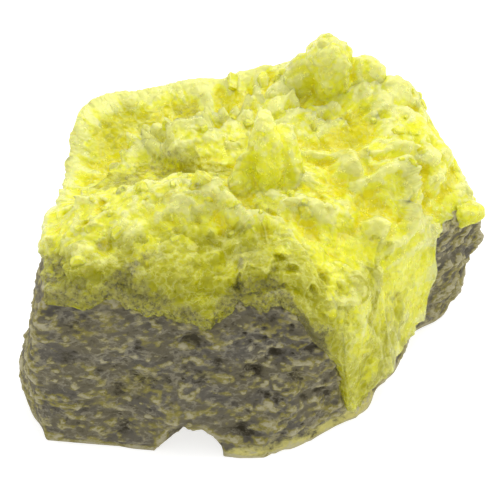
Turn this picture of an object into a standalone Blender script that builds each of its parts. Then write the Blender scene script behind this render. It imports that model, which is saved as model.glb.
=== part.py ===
"""Native sulfur crystals on a hand-sized piece of their matrix rock.

Two pieces: matrix_rock, a broken block of grey volcanic rock, and sulfur_crust, the yellow crystals
that grew together over its top and down one corner. Metres, +Z up, +Y away from the front, bearings in
degrees from +X towards +Y. The origin is at the bottom centre of the specimen.
"""

import bmesh
import bpy
import numpy as np
from mathutils import Vector

SEED = 11
FAR = 1.0
GAP_ALONG_RAY = 0.0004

# The middle of the specimen's box, in the coordinates of the lists below.
SPECIMEN_CENTRE = (0.0016, -0.0004)

# Every surface is met by straight rays from the heart, a point inside the rock.
HEART = np.array([0.0000, -0.0020, 0.0110])

# Flat faces of the specimen: bearing the face looks towards, lean (up is positive), and its distance
# from the heart on the rock and on the crust over it.
FACES = (
    ("front, left half", -97, 13, 0.0259, 0.0268),
    ("front, right half", -88, 28, 0.0219, 0.0228),
    ("front corner", -57, 8, 0.0243, 0.0253),
    ("crusted corner", -25, 10, 0.0212, 0.0238),
    ("right, bare", -45, 0, 0.0200, 0.0208),
    ("right end, high", 12, 20, 0.0366, 0.0372),
    ("right end, low", 12, -6, 0.0374, 0.0380),
    ("right shoulder", 17, 48, 0.0302, 0.0320),
    ("back right", 63, 8, 0.0332, 0.0342),
    ("back", 97, 8, 0.0292, 0.0302),
    ("back left corner", 130, 8, 0.0350, 0.0362),
    ("left", 174, 12, 0.0296, 0.0304),
    ("left end, high", -165, 10, 0.0362, 0.0366),
    ("left end, low", -165, -8, 0.0366, 0.0371),
    ("front left corner", -146, 4, 0.0384, 0.0390),
    ("right undercut", 25, -45, 0.0283, 0.0303),
    ("back undercut", 90, -38, 0.0270, 0.0290),
)
# The bare face on the right stands back in a step from the corner, so the farther of the two counts.
STEPPED_FACES = ("crusted corner", "right, bare")
EDGE_SOFTNESS = 0.0005
ROCK_COVER = 0.0028
ROCK_LUMPS = ((0.0009, 0.0090), (0.0005, 0.0042))
FLOOR_SINK = 0.0003

# A hollow under the front face: bearing, half width in degrees, lean and distance of its roof.
NOTCH_BEARING = -106
NOTCH_HALF_WIDTH = 9
NOTCH_LEAN = -55
NOTCH_DISTANCE = 0.0217

# Height of the crust's top over the plan, as a thin plate bent through these points: x, y, height.
CRUST_TOP = (
    ("front left edge", -0.0285, -0.0220, 0.0262),
    ("front edge, left", -0.0170, -0.0225, 0.0250),
    ("front edge, middle", -0.0050, -0.0215, 0.0247),
    ("front edge, right", 0.0060, -0.0185, 0.0258),
    ("corner shoulder", 0.0140, -0.0195, 0.0200),
    ("right flutes", 0.0185, -0.0135, 0.0205),
    ("seam shoulder", 0.0265, -0.0020, 0.0225),
    ("right end", 0.0335, 0.0050, 0.0205),
    ("ridge, west end", -0.0264, -0.0195, 0.0262),
    ("ridge, rise", -0.0196, -0.0119, 0.0296),
    ("ridge, crown", -0.0118, -0.0062, 0.0312),
    ("ridge, east end", -0.0055, -0.0072, 0.0306),
    ("saddle", -0.0010, -0.0085, 0.0272),
    ("pinnacle foot", 0.0040, -0.0050, 0.0285),
    ("front slope, left", -0.0150, -0.0190, 0.0252),
    ("front slope, middle", -0.0020, -0.0170, 0.0250),
    ("front slope, right", 0.0100, -0.0125, 0.0252),
    ("left edge", -0.0275, 0.0000, 0.0248),
    ("trough, west", -0.0200, 0.0020, 0.0243),
    ("trough, middle", -0.0116, 0.0080, 0.0236),
    ("trough, east", -0.0025, 0.0070, 0.0245),
    ("back left corner", -0.0245, 0.0200, 0.0258),
    ("back rim", -0.0065, 0.0255, 0.0278),
    ("summit foot", 0.0125, 0.0220, 0.0302),
    ("plateau", 0.0080, 0.0040, 0.0280),
    ("golden hollow", 0.0125, 0.0085, 0.0262),
    ("right plateau", 0.0210, 0.0060, 0.0278),
    ("right rim", 0.0275, 0.0125, 0.0268),
)

# Where the crust ends on the rock's sides: bearing, height.
CRUST_EDGE = (
    (-180, 0.0205),
    (-150, 0.0240),
    (-143, 0.0242),
    (-138, 0.0228),
    (-134, 0.0246),
    (-127, 0.0222),
    (-118, 0.0218),
    (-106, 0.0200),
    (-99, 0.0222),
    (-93, 0.0240),
    (-76, 0.0245),
    (-69, 0.0196),
    (-63, 0.0155),
    (-59, 0.0125),
    (-57, 0.0080),
    (-56, 0.0028),
    (-54, 0.0017),
    (-12, 0.0017),
    (-7, 0.0026),
    (-3, 0.0090),
    (0, 0.0180),
    (6, 0.0190),
    (12, 0.0175),
    (30, 0.0160),
    (60, 0.0175),
    (90, 0.0185),
    (130, 0.0175),
    (160, 0.0195),
)
CRUST_SKIN = 0.0014
CRUST_OFF_FLOOR = 0.0001
CRUST_SINK = 0.0006
CRUST_LUMP = 0.0010
CRUST_LUMP_SIZE = 0.0050

# Large crystals: foot, tip, width and thickness in millimetres, then twist in degrees, corners, shoulder
# height and point size as shares of the whole.
LARGE_CRYSTALS = (
    ("pinnacle", (3.8, -4.0, 24.0), (2.3, 3.2, 37.7), 7.0, 4.6, 20, 5, 0.42, 0.46),
    ("pinnacle, right", (6.6, -3.0, 24.0), (4.3, 4.0, 35.6), 4.8, 3.8, 60, 5, 0.50, 0.45),
    ("pinnacle, left", (-1.6, -5.0, 24.0), (0.0, 0.0, 32.2), 5.0, 3.4, 10, 5, 0.55, 0.40),
    ("summit", (12.7, 21.5, 25.0), (12.6, 22.6, 37.0), 9.8, 7.2, 15, 6, 0.66, 0.46),
    ("summit, right", (19.0, 22.0, 24.0), (18.6, 23.2, 33.8), 7.0, 5.6, 40, 5, 0.60, 0.50),
    ("summit, left", (8.0, 21.5, 24.0), (8.0, 22.2, 33.8), 5.6, 5.0, 0, 5, 0.60, 0.50),
    ("east rim", (23.5, 19.0, 22.0), (24.6, 21.0, 30.2), 6.4, 6.0, 80, 5, 0.60, 0.55),
    ("block", (15.0, 1.5, 22.5), (16.5, 3.0, 31.0), 6.8, 5.0, 10, 4, 0.70, 0.72),
    ("bright crystal", (23.5, 3.0, 21.0), (25.0, 4.5, 30.0), 5.2, 4.8, 30, 5, 0.60, 0.50),
    ("white block", (8.8, -5.8, 22.0), (9.4, -6.8, 29.8), 5.8, 4.4, 70, 4, 0.65, 0.62),
    ("overhang", (10.5, -16.0, 17.0), (11.2, -21.0, 20.0), 7.0, 5.6, 0, 6, 0.60, 0.62),
    ("overhang, left", (-5.0, -20.5, 18.5), (-6.0, -26.2, 20.5), 7.5, 5.0, 0, 5, 0.60, 0.55),
    ("right knob", (32.0, 3.6, 17.2), (36.2, 3.6, 18.0), 3.4, 3.4, 0, 6, 0.60, 0.60),
    ("ridge, west block", (-25.2, -15.8, 21.0), (-25.8, -17.8, 28.6), 5.6, 4.8, 25, 4, 0.65, 0.65),
    ("ridge slab", (-18.5, -12.0, 24.0), (-20.5, -16.5, 31.0), 5.6, 3.0, 30, 4, 0.60, 0.70),
    ("ridge crown", (-11.8, -5.5, 25.5), (-11.8, -7.0, 33.0), 6.6, 5.0, 0, 5, 0.62, 0.55),
    ("ridge, east", (-6.2, -6.5, 25.5), (-5.8, -7.5, 32.2), 5.6, 4.6, 50, 5, 0.62, 0.55),
    ("front slab, left", (-14.0, -16.5, 21.5), (-14.6, -21.5, 26.8), 5.6, 4.0, 15, 4, 0.60, 0.60),
    ("front slab, middle", (-2.0, -14.0, 22.0), (-1.5, -19.0, 27.5), 6.2, 4.4, 35, 5, 0.60, 0.55),
    ("flute, high", (17.5, -5.5, 20.0), (21.5, -8.5, 26.2), 4.6, 4.0, 0, 5, 0.60, 0.50),
    ("flute, low", (16.5, -10.5, 15.0), (20.5, -13.5, 20.5), 4.6, 3.8, 30, 5, 0.60, 0.50),
    ("back rim, west", (-21.5, 20.0, 20.0), (-22.2, 21.2, 28.6), 5.6, 5.0, 10, 5, 0.60, 0.55),
    ("back rim, middle", (-7.0, 24.0, 21.0), (-7.0, 25.2, 30.2), 6.0, 4.8, 30, 5, 0.60, 0.50),
    ("back rim, east", (1.5, 23.8, 22.0), (1.2, 25.0, 30.8), 5.2, 4.6, 0, 5, 0.60, 0.50),
    ("left rim", (-26.2, -2.0, 19.0), (-27.6, -2.2, 26.6), 6.0, 4.4, 60, 4, 0.62, 0.60),
)
MILLIMETRE = 0.001
TIP_FLATNESS = 0.6
FOOT_SIZE = 0.78

# Small crystals strewn over the crust. Sizes are lengths; the rest of a crystal is a share of its size.
CRYSTAL_SPACING = 0.0060
CRYSTAL_JITTER = 0.4
CRYSTAL_PROUD = -0.0004
CRYSTAL_RISE = 0.3
CRYSTAL_LEAN_UP = 0.3
CRYSTAL_LEAN_SPREAD = 0.35
CRYSTAL_WIDTHS = (0.9, 1.4)
CRYSTAL_THICKNESSES = (0.6, 1.1)
CRYSTAL_CORNERS = (4, 6)
CRYSTAL_SHOULDERS = (0.55, 0.75)
CRYSTAL_POINTS = (0.45, 0.70)
TOP_CRYSTAL_SIZES = (0.0046, 0.0072)
TOP_SPAN_X = (-0.036, 0.038)
TOP_SPAN_Y = (-0.030, 0.032)
SIDE_CRYSTAL_SIZES = (0.0034, 0.0046)
SIDE_BEARINGS = (*range(10, 175, 13), *range(182, 215, 13))
SIDE_BEARING_JITTER = 4
SIDE_ABOVE_EDGE = (4, 9)
CORNER_BEARINGS = (-50, -38, -26, -14)
CORNER_LEANS = (-12, -2, 8)
CORNER_LEAN_JITTER = 2

ROCK_COLOUR = (0.150, 0.135, 0.095)
ROCK_ROUGHNESS = 0.9
SULFUR_COLOUR = (0.800, 0.780, 0.100)
SULFUR_ROUGHNESS = 0.35

# Facets in each mesh.
ROCK_COLUMNS = 64
ROCK_ROWS_BELOW = 4
ROCK_ROWS_SIDE = 9
ROCK_ROWS_ABOVE = 4
CRUST_GRID = 26
DRUM_HEIGHT = 0.0220


def bearing_lean(bearing, lean):
    """Unit vectors that look along a bearing, leaning up from level, both in degrees."""
    bearing, lean = np.radians(bearing), np.radians(lean)
    return np.stack(
        (np.cos(lean) * np.cos(bearing), np.cos(lean) * np.sin(bearing), np.sin(lean) + 0 * bearing), -1
    )


def hashed(cells, seed):
    """A repeatable number from 0 to 1 for each whole-number cell."""
    mixed = cells @ np.array([73856093, 19349663, 83492791]) + seed * 2654435
    mixed = (mixed ^ (mixed >> 13)) * 1274126177
    mixed = (mixed ^ (mixed >> 16)) & 0xFFFFFF
    return mixed / 0xFFFFFF


def lumps(points, size, seed):
    """Smooth noise from -1 to 1: values at the corners of cubes, blended by smoothstep inside them."""
    scaled = points / size
    cell = np.floor(scaled).astype(np.int64)
    share = scaled - cell
    share = share * share * (3 - 2 * share)
    total = np.zeros(points.shape[:-1])
    for corner in np.ndindex(2, 2, 2):
        corner = np.array(corner)
        weight = np.prod(np.where(corner, share, 1 - share), -1)
        total += weight * hashed(cell + corner, seed)
    return 2 * total - 1


def plate_kernel(distance):
    """The bent plate's radial term, r squared times log r."""
    return distance**2 * np.log(np.maximum(distance, 1e-9))


def plate_weights():
    """The weights with which the thin plate passes through every point of CRUST_TOP."""
    known = np.array([row[1:] for row in CRUST_TOP])
    plan, heights = known[:, :2], known[:, 2]
    count = len(known)
    system = np.zeros((count + 3, count + 3))
    system[:count, :count] = plate_kernel(np.linalg.norm(plan[:, None] - plan, axis=-1))
    system[:count, count:] = np.column_stack((np.ones(count), plan))
    system[count:, :count] = system[:count, count:].T
    return plan, np.linalg.solve(system, np.append(heights, np.zeros(3)))


PLATE_PLAN, PLATE_WEIGHTS = plate_weights()


def crust_top(x, y):
    """Height of the crust's top: the thin plate's kernel terms plus its plane."""
    plan = np.stack((x, y), -1)
    kernel = plate_kernel(np.linalg.norm(plan[..., None, :] - PLATE_PLAN, axis=-1))
    constant, slope_x, slope_y = PLATE_WEIGHTS[-3:]
    return kernel @ PLATE_WEIGHTS[:-3] + constant + slope_x * x + slope_y * y


def wall_reach(rays, on_crust=False):
    """Distance along each ray to the flat faces, with the edges between them rounded."""
    reach = {}
    for name, bearing, lean, rock_distance, crust_distance in FACES:
        distance = crust_distance if on_crust else rock_distance
        facing = rays @ bearing_lean(bearing, lean)
        reach[name] = np.where(facing > 0.05, distance / np.maximum(facing, 0.05), FAR)
    first, second = STEPPED_FACES
    reach[first] = np.maximum(reach[first], reach.pop(second))
    total = sum(np.exp(-distances / EDGE_SOFTNESS) for distances in reach.values())
    return -EDGE_SOFTNESS * np.log(np.maximum(total, 1e-300))


def notch_reach(rays):
    """Distance along each ray to the roof of the hollow under the front, far away outside its width."""
    off_centre = (np.degrees(np.arctan2(rays[..., 1], rays[..., 0])) - NOTCH_BEARING) / NOTCH_HALF_WIDTH
    facing = rays @ bearing_lean(NOTCH_BEARING, NOTCH_LEAN)
    roof = np.where(facing > 0.05, NOTCH_DISTANCE / np.maximum(facing, 0.05), FAR)
    return roof + 0.004 * off_centre**4


def top_reach(rays, lift, most):
    """Distance along each ray to the crust's top moved by lift, found by halving between 0 and most."""
    low, high = np.zeros_like(most), most.copy()
    for _ in range(24):
        middle = (low + high) / 2
        x, y, z = np.moveaxis(HEART + rays * middle[..., None], -1, 0)
        inside = z < crust_top(x, y) + lift
        low = np.where(inside, middle, low)
        high = np.where(inside, high, middle)
    return low


def floor_reach(rays, depth):
    """Distance along each ray down to a level below z = 0 by depth."""
    return np.where(rays[..., 2] < -1e-6, (HEART[2] + depth) / np.maximum(-rays[..., 2], 1e-6), FAR)


def rock_reach(rays):
    """Distance along each ray to the rock's surface: flat faces with lumps, and a base worn flat."""
    side = np.minimum(wall_reach(rays), notch_reach(rays))
    reach = top_reach(rays, -ROCK_COVER, side)
    reach = np.minimum(reach, floor_reach(rays, FLOOR_SINK))
    points = HEART + rays * reach[..., None]
    reach = reach + sum(height * lumps(points, size, SEED) for height, size in ROCK_LUMPS)
    return np.minimum(reach, floor_reach(rays, 0))


def crust_reach(rays):
    """Distance along each ray to the crust's outer surface, always a skin's thickness off the rock."""
    side = wall_reach(rays, on_crust=True) - CRUST_SINK
    reach = top_reach(rays, -CRUST_SINK, side)
    reach = reach + CRUST_LUMP * lumps(HEART + rays * reach[..., None], CRUST_LUMP_SIZE, SEED + 1)
    reach = np.maximum(reach, rock_reach(rays) + CRUST_SKIN)
    return np.minimum(reach, floor_reach(rays, -CRUST_OFF_FLOOR))


def edge_lean(bearing):
    """How far a ray leans, in degrees, where it meets the crust's edge at this bearing."""
    bearings, heights = np.array(CRUST_EDGE).T
    height = np.interp(bearing, bearings, heights, period=360)
    level = wall_reach(bearing_lean(bearing, 0), on_crust=True)
    return np.degrees(np.arctan2(height - HEART[2], level))


def rock_rays():
    """Rays through a drum round the heart, row by row from the base's centre to the top's centre."""
    bearing = np.linspace(-180, 180, ROCK_COLUMNS, endpoint=False)
    drum_radius = wall_reach(bearing_lean(bearing, 0))
    below = [(share, 0.0) for share in np.linspace(0, 1, ROCK_ROWS_BELOW, endpoint=False)]
    side = [(1.0, share) for share in np.linspace(0, 1, ROCK_ROWS_SIDE, endpoint=False)]
    above = [(share, 1.0) for share in np.linspace(1, 0, ROCK_ROWS_ABOVE + 1)]
    radius, height = np.array(below[1:] + side + above[:-1]).T
    rise = height[:, None] * DRUM_HEIGHT - HEART[2]
    lean = np.degrees(np.arctan2(rise, radius[:, None] * drum_radius))
    return bearing_lean(bearing + 0 * lean, lean)


def rock_mesh(name, outward=0.0):
    """The rock's closed mesh, each point moved outward: rings of triangles with a fan at each pole."""
    rays = rock_rays()
    points = HEART + rays * (rock_reach(rays) + outward)[..., None]
    rows, columns = points.shape[:2]
    down, up = np.array([0.0, 0.0, -1.0]), np.array([0.0, 0.0, 1.0])
    poles = [HEART + ray * (rock_reach(ray[None])[0] + outward) for ray in (down, up)]
    index = np.arange(rows * columns).reshape(rows, columns)
    after = np.roll(index, -1, axis=1)
    lower = np.stack((index[:-1], after[:-1], after[1:]), -1).reshape(-1, 3)
    upper = np.stack((index[:-1], after[1:], index[1:]), -1).reshape(-1, 3)
    faces = lower.tolist() + upper.tolist()
    base, top = rows * columns, rows * columns + 1
    faces += [(base, b, a) for a, b in zip(index[0], after[0])]
    faces += [(top, a, b) for a, b in zip(index[-1], after[-1])]
    mesh = bpy.data.meshes.new(name)
    mesh.from_pydata(np.vstack((points.reshape(-1, 3), poles)).tolist(), [], faces)
    return mesh


def round_grid(count):
    """A square grid pressed into a disk: bearing and share of the way out, from 0 at the centre to 1."""
    steps = np.linspace(-1, 1, count + 1)
    across, along = np.meshgrid(steps, steps, indexing="ij")
    share = np.maximum(np.abs(across), np.abs(along))
    turned = np.pi / 4 * np.where(
        np.abs(across) >= np.abs(along),
        np.divide(along, across, out=np.zeros_like(across), where=across != 0),
        2 - np.divide(across, along, out=np.zeros_like(across), where=along != 0),
    )
    turned = turned + np.pi * np.where(np.abs(across) >= np.abs(along), across < 0, along < 0)
    return np.degrees(turned), share


def round_triangles(index):
    """Triangles over a round grid's points, each square cut by the diagonal that points at the centre."""
    low, right, high, left = index[:-1, :-1], index[1:, :-1], index[1:, 1:], index[:-1, 1:]
    steps = np.arange(len(index) - 1) - (len(index) - 2) / 2
    outward = (steps[:, None] * steps > 0)[..., None]
    first = np.where(outward, np.stack((low, right, high), -1), np.stack((low, right, left), -1))
    second = np.where(outward, np.stack((low, high, left), -1), np.stack((right, high, left), -1))
    return np.concatenate((first.reshape(-1, 3), second.reshape(-1, 3)))


def crust_rays(bearing, share):
    """Rays from straight up, at share 0, down to the crust's edge at share 1."""
    return bearing_lean(bearing, 90 - share * (90 - edge_lean(bearing)))


def crust_shell():
    """The crust's closed mesh before the rock is cut from it: its outside and a cone in to the heart."""
    bearing, share = round_grid(CRUST_GRID)
    rays = crust_rays(bearing, share)
    points = HEART + rays * crust_reach(rays)[..., None]
    index = np.arange(points.shape[0] * points.shape[1]).reshape(points.shape[:2])
    border = np.concatenate((index[:-1, 0], index[-1, :-1], index[:0:-1, -1], index[0, :0:-1]))
    heart = points.shape[0] * points.shape[1]
    faces = round_triangles(index).tolist() + [(heart, b, a) for a, b in zip(border, np.roll(border, -1))]
    mesh = bpy.data.meshes.new("crust_shell")
    mesh.from_pydata(np.vstack((points.reshape(-1, 3), HEART)).tolist(), [], faces)
    return mesh


def frame_along(axis, twist):
    """Three unit vectors at right angles, the last along the axis, turned round it by twist degrees."""
    axis = axis / np.linalg.norm(axis)
    side = np.cross(axis, (0.31, 0.17, 0.93) if abs(axis[2]) < 0.9 else (1.0, 0.0, 0.0))
    side /= np.linalg.norm(side)
    other = np.cross(axis, side)
    turn = np.radians(twist)
    return np.cos(turn) * side + np.sin(turn) * other, np.cos(turn) * other - np.sin(turn) * side, axis


def crystal(bm, foot, tip, width, thickness, twist, corners, shoulder, point):
    """A flat-faced crystal from foot to tip: a ring at its foot, its full ring at the shoulder, and a
    smaller one at its tip, whose size is point as a share of the full ring."""
    across, along, up = frame_along(tip - foot, twist)
    length = np.linalg.norm(tip - foot)
    turns = np.radians(360 / corners * (np.arange(corners) + 0.5))
    rings = []
    sizes = ((0.0, FOOT_SIZE, FOOT_SIZE), (shoulder, 1.0, 1.0), (1.0, point, TIP_FLATNESS * point))
    for height, wide, thick in sizes:
        flat = np.cos(turns)[:, None] * across * width * wide
        spread = (flat + np.sin(turns)[:, None] * along * thickness * thick) / 2
        rings.append([bm.verts.new(Vector(foot + up * length * height + corner)) for corner in spread])
    bm.faces.new(rings[0][::-1])
    bm.faces.new(rings[-1])
    for lower, upper in zip(rings, rings[1:]):
        for first in range(corners):
            second = (first + 1) % corners
            bm.faces.new((lower[first], lower[second], upper[second], upper[first]))


def top_seats(random):
    """Rays to the places of the small crystals on the crust's top, in loose rows."""
    steps_x = np.arange(*TOP_SPAN_X, CRYSTAL_SPACING)
    steps_y = np.arange(*TOP_SPAN_Y, CRYSTAL_SPACING)
    x, y = (grid.ravel() for grid in np.meshgrid(steps_x, steps_y))
    x = x + random.uniform(-CRYSTAL_JITTER, CRYSTAL_JITTER, x.shape) * CRYSTAL_SPACING
    y = y + random.uniform(-CRYSTAL_JITTER, CRYSTAL_JITTER, y.shape) * CRYSTAL_SPACING
    rays = np.stack((x - HEART[0], y - HEART[1], crust_top(x, y) - HEART[2]), -1)
    length = np.linalg.norm(rays, axis=-1)
    rays = rays / length[:, None]
    return rays[length < wall_reach(rays, on_crust=True)]


def side_seats(random):
    """Rays to the places of the small crystals down the crusted corner and round the crust's sides."""
    bearing, lean = (grid.ravel() for grid in np.meshgrid(CORNER_BEARINGS, CORNER_LEANS))
    bearing = np.append(bearing, SIDE_BEARINGS)
    bearing = bearing + random.uniform(-SIDE_BEARING_JITTER, SIDE_BEARING_JITTER, bearing.size)
    above_edge = edge_lean(np.array(SIDE_BEARINGS)) + random.uniform(*SIDE_ABOVE_EDGE, len(SIDE_BEARINGS))
    lean = lean + random.uniform(-CORNER_LEAN_JITTER, CORNER_LEAN_JITTER, lean.size)
    return bearing_lean(bearing, np.append(lean, above_edge))


def strew_crystals(bm, rays, sizes, random):
    """Crystals grown side by side where the rays meet the crust, mostly sunk in it, leaning every way.
    None stands out past the specimen's flat faces by more than CRYSTAL_PROUD."""
    for ray, reach in zip(rays, crust_reach(rays)):
        size = random.uniform(*sizes)
        axis = ray + (0, 0, CRYSTAL_LEAN_UP) + random.normal(0, CRYSTAL_LEAN_SPREAD, 3)
        axis /= np.linalg.norm(axis)
        tip = ray * reach + axis * CRYSTAL_RISE * size
        tip_reach = np.linalg.norm(tip)
        limit = wall_reach(tip[None] / tip_reach, on_crust=True)[0] + CRYSTAL_PROUD
        tip = HEART + tip * min(1.0, limit / tip_reach)
        crystal(
            bm,
            foot=tip - axis * size,
            tip=tip,
            width=size * random.uniform(*CRYSTAL_WIDTHS),
            thickness=size * random.uniform(*CRYSTAL_THICKNESSES),
            twist=random.uniform(0, 360),
            corners=int(random.integers(*CRYSTAL_CORNERS)),
            shoulder=random.uniform(*CRYSTAL_SHOULDERS),
            point=random.uniform(*CRYSTAL_POINTS),
        )


def large_crystals(bm):
    """The crystals and lumps that stand out, each where it grew."""
    for _, *lengths, twist, corners, shoulder, point in LARGE_CRYSTALS:
        foot, tip, width, thickness = (MILLIMETRE * np.array(length) for length in lengths)
        crystal(bm, foot, tip, width, thickness, twist, corners, shoulder, point)


def crystals_object():
    """All crystals in one cutter object, each its own closed shape."""
    bm = bmesh.new()
    random = np.random.default_rng(SEED)
    strew_crystals(bm, top_seats(random), TOP_CRYSTAL_SIZES, random)
    strew_crystals(bm, side_seats(random), SIDE_CRYSTAL_SIZES, random)
    large_crystals(bm)
    bmesh.ops.recalc_face_normals(bm, faces=bm.faces)
    mesh = bpy.data.meshes.new("crystals")
    bm.to_mesh(mesh)
    bm.free()
    return mesh


def material(name, colour, roughness, transmission=0.0):
    """A Principled material of one colour."""
    made = bpy.data.materials.new(name)
    made.use_nodes = True
    shader = made.node_tree.nodes["Principled BSDF"]
    shader.inputs["Base Color"].default_value = (*colour, 1.0)
    shader.inputs["Roughness"].default_value = roughness
    shader.inputs["Transmission Weight"].default_value = transmission
    return made


def place(name, mesh):
    """An object that holds the mesh, moved so that the specimen's bottom centre is the origin."""
    placed = bpy.data.objects.new(name, mesh)
    placed.location = (-SPECIMEN_CENTRE[0], -SPECIMEN_CENTRE[1], 0.0)
    bpy.context.scene.collection.objects.link(placed)
    return placed


def helper(name, mesh):
    """An object used only by a Boolean, left out of the part."""
    placed = place(name, mesh)
    placed.hide_render = True
    placed.display_type = "WIRE"
    return placed


def boolean(target, other, operation):
    """A Boolean modifier with the exact solver, for shapes that also cross themselves."""
    modifier = target.modifiers.new(operation.lower(), "BOOLEAN")
    modifier.operation = operation
    modifier.solver = "EXACT"
    modifier.use_self = True
    modifier.object = other


def make_rock():
    """The grey matrix rock."""
    rock = place("matrix_rock", rock_mesh("matrix_rock"))
    rock.data.materials.append(material("matrix_grey", ROCK_COLOUR, ROCK_ROUGHNESS))


def make_crust():
    """The sulfur crust: its shell and crystals in one, less the rock and the gap round it."""
    crust = place("sulfur_crust", crust_shell())
    crust.data.materials.append(material("sulfur_yellow", SULFUR_COLOUR, SULFUR_ROUGHNESS))
    boolean(crust, helper("crystals_to_join", crystals_object()), "UNION")
    boolean(crust, helper("rock_to_cut", rock_mesh("rock_to_cut", GAP_ALONG_RAY)), "DIFFERENCE")


def main():
    for old in list(bpy.data.objects):
        bpy.data.objects.remove(old)
    make_rock()
    make_crust()


main()
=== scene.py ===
"""Dressed model of a native sulfur specimen: yellow crystals grown over a broken block of volcanic rock.

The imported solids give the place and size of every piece. The rock, the crust and the crystals are made
again here with finer relief and with their own finishes. Metres, +Z up, bearings in degrees from +X
towards +Y.
"""

import math

import bpy
import numpy as np
from bpy.props import FloatProperty, FloatVectorProperty, IntProperty, PointerProperty
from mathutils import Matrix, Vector


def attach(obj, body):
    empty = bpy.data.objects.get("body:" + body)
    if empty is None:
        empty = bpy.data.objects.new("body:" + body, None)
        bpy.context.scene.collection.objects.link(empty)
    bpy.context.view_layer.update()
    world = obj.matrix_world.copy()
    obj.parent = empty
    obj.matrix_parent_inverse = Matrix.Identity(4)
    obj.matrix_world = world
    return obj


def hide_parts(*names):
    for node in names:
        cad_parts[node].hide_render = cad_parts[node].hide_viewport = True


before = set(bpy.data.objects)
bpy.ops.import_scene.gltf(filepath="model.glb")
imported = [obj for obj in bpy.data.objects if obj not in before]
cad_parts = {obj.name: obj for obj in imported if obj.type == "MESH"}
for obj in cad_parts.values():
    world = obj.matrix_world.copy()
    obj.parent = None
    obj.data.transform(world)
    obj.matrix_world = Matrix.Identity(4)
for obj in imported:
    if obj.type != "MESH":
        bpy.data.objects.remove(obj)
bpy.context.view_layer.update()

bl_info = {
    "name": "Sulfur Specimen",
    "version": (1, 0, 0),
    "blender": (4, 5, 0),
    "location": "3D View > Sidebar > Specimen",
    "description": "Builds native sulfur crystals on their matrix rock",
    "category": "Add Mesh",
}

BODY = "root"
SEED = 11
FAR = 1.0

# The middle of the specimen's box, in the coordinates of the lists below.
SPECIMEN_CENTRE = np.array([0.0016, -0.0004, 0.0])

# Every surface is met by straight rays from the heart, a point inside the rock.
HEART = np.array([0.0000, -0.0020, 0.0110])

# Flat faces of the specimen: bearing the face looks towards, lean (up is positive), and its distance
# from the heart on the rock and on the crust over it.
FACES = (
    ("front, left half", -97, 13, 0.0259, 0.0268),
    ("front, right half", -88, 28, 0.0219, 0.0228),
    ("front corner", -57, 8, 0.0243, 0.0253),
    ("crusted corner", -25, 13, 0.0214, 0.0241),
    ("right, bare", -45, 0, 0.0200, 0.0208),
    ("right end, high", 12, 30, 0.0337, 0.0349),
    ("right end, low", 12, -6, 0.0374, 0.0380),
    ("right shoulder", -2, 48, 0.0290, 0.0303),
    ("back right", 63, 8, 0.0332, 0.0342),
    ("back", 97, 8, 0.0300, 0.0311),
    ("back left corner", 130, 8, 0.0354, 0.0367),
    ("left", 174, 12, 0.0296, 0.0304),
    ("left end, high", -165, 14, 0.0358, 0.0362),
    ("left end, low", -165, -8, 0.0366, 0.0371),
    ("front left corner", -146, 9, 0.0383, 0.0388),
    ("left shoulder", 180, 45, 0.0291, 0.0303),
    ("right undercut", 25, -45, 0.0278, 0.0298),
    ("back undercut", 90, -38, 0.0270, 0.0290),
)
# The bare face on the right stands back in a step from the corner, so the farther of the two counts.
STEPPED_FACES = ("crusted corner", "right, bare")
EDGE_SOFTNESS = 0.0005
# A ray meets a face only where it points at it at least this squarely.
SQUARE_ENOUGH = 0.05
ROCK_COVER = 0.0028
FLOOR_SINK = 0.0003
# Height of the drums from whose sides and lids the rays to the rock and to the crust are shared out.
ROCK_DRUM = 0.0235
CRUST_DRUM = 0.0265

# A hollow under the front face: bearing, half width in degrees, lean and distance of its roof.
NOTCH_BEARING = -106
NOTCH_HALF_WIDTH = 9
NOTCH_LEAN = -55
NOTCH_DISTANCE = 0.0217
NOTCH_FADE = 0.004

# Height of the crust's top over the plan, as a thin plate bent through these points: x, y, height.
CRUST_TOP = (
    ("front left edge", -0.0285, -0.0220, 0.0262),
    ("front edge, left", -0.0170, -0.0225, 0.0250),
    ("front edge, middle", -0.0050, -0.0215, 0.0247),
    ("front edge, right", 0.0060, -0.0185, 0.0258),
    ("corner shoulder", 0.0140, -0.0195, 0.0200),
    ("right flutes", 0.0185, -0.0135, 0.0205),
    ("seam shoulder", 0.0265, -0.0020, 0.0225),
    ("right end", 0.0335, 0.0050, 0.0205),
    ("ridge, west end", -0.0264, -0.0195, 0.0262),
    ("ridge, rise", -0.0196, -0.0119, 0.0296),
    ("ridge, crown", -0.0118, -0.0062, 0.0312),
    ("ridge, east end", -0.0055, -0.0072, 0.0306),
    ("saddle", -0.0010, -0.0085, 0.0272),
    ("pinnacle foot", 0.0040, -0.0050, 0.0285),
    ("front slope, left", -0.0150, -0.0190, 0.0252),
    ("front slope, middle", -0.0020, -0.0170, 0.0250),
    ("front slope, right", 0.0100, -0.0125, 0.0252),
    ("left edge", -0.0275, 0.0000, 0.0248),
    ("trough, west", -0.0200, 0.0020, 0.0243),
    ("trough, middle", -0.0116, 0.0080, 0.0236),
    ("trough, east", -0.0025, 0.0070, 0.0245),
    ("back left corner", -0.0245, 0.0200, 0.0258),
    ("back rim", -0.0065, 0.0255, 0.0278),
    ("summit foot", 0.0125, 0.0220, 0.0306),
    ("summit foot, front", 0.0120, 0.0166, 0.0297),
    ("plateau", 0.0080, 0.0040, 0.0280),
    ("golden hollow", 0.0125, 0.0085, 0.0262),
    ("right plateau", 0.0210, 0.0060, 0.0278),
    ("right rim", 0.0275, 0.0125, 0.0268),
)

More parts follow.
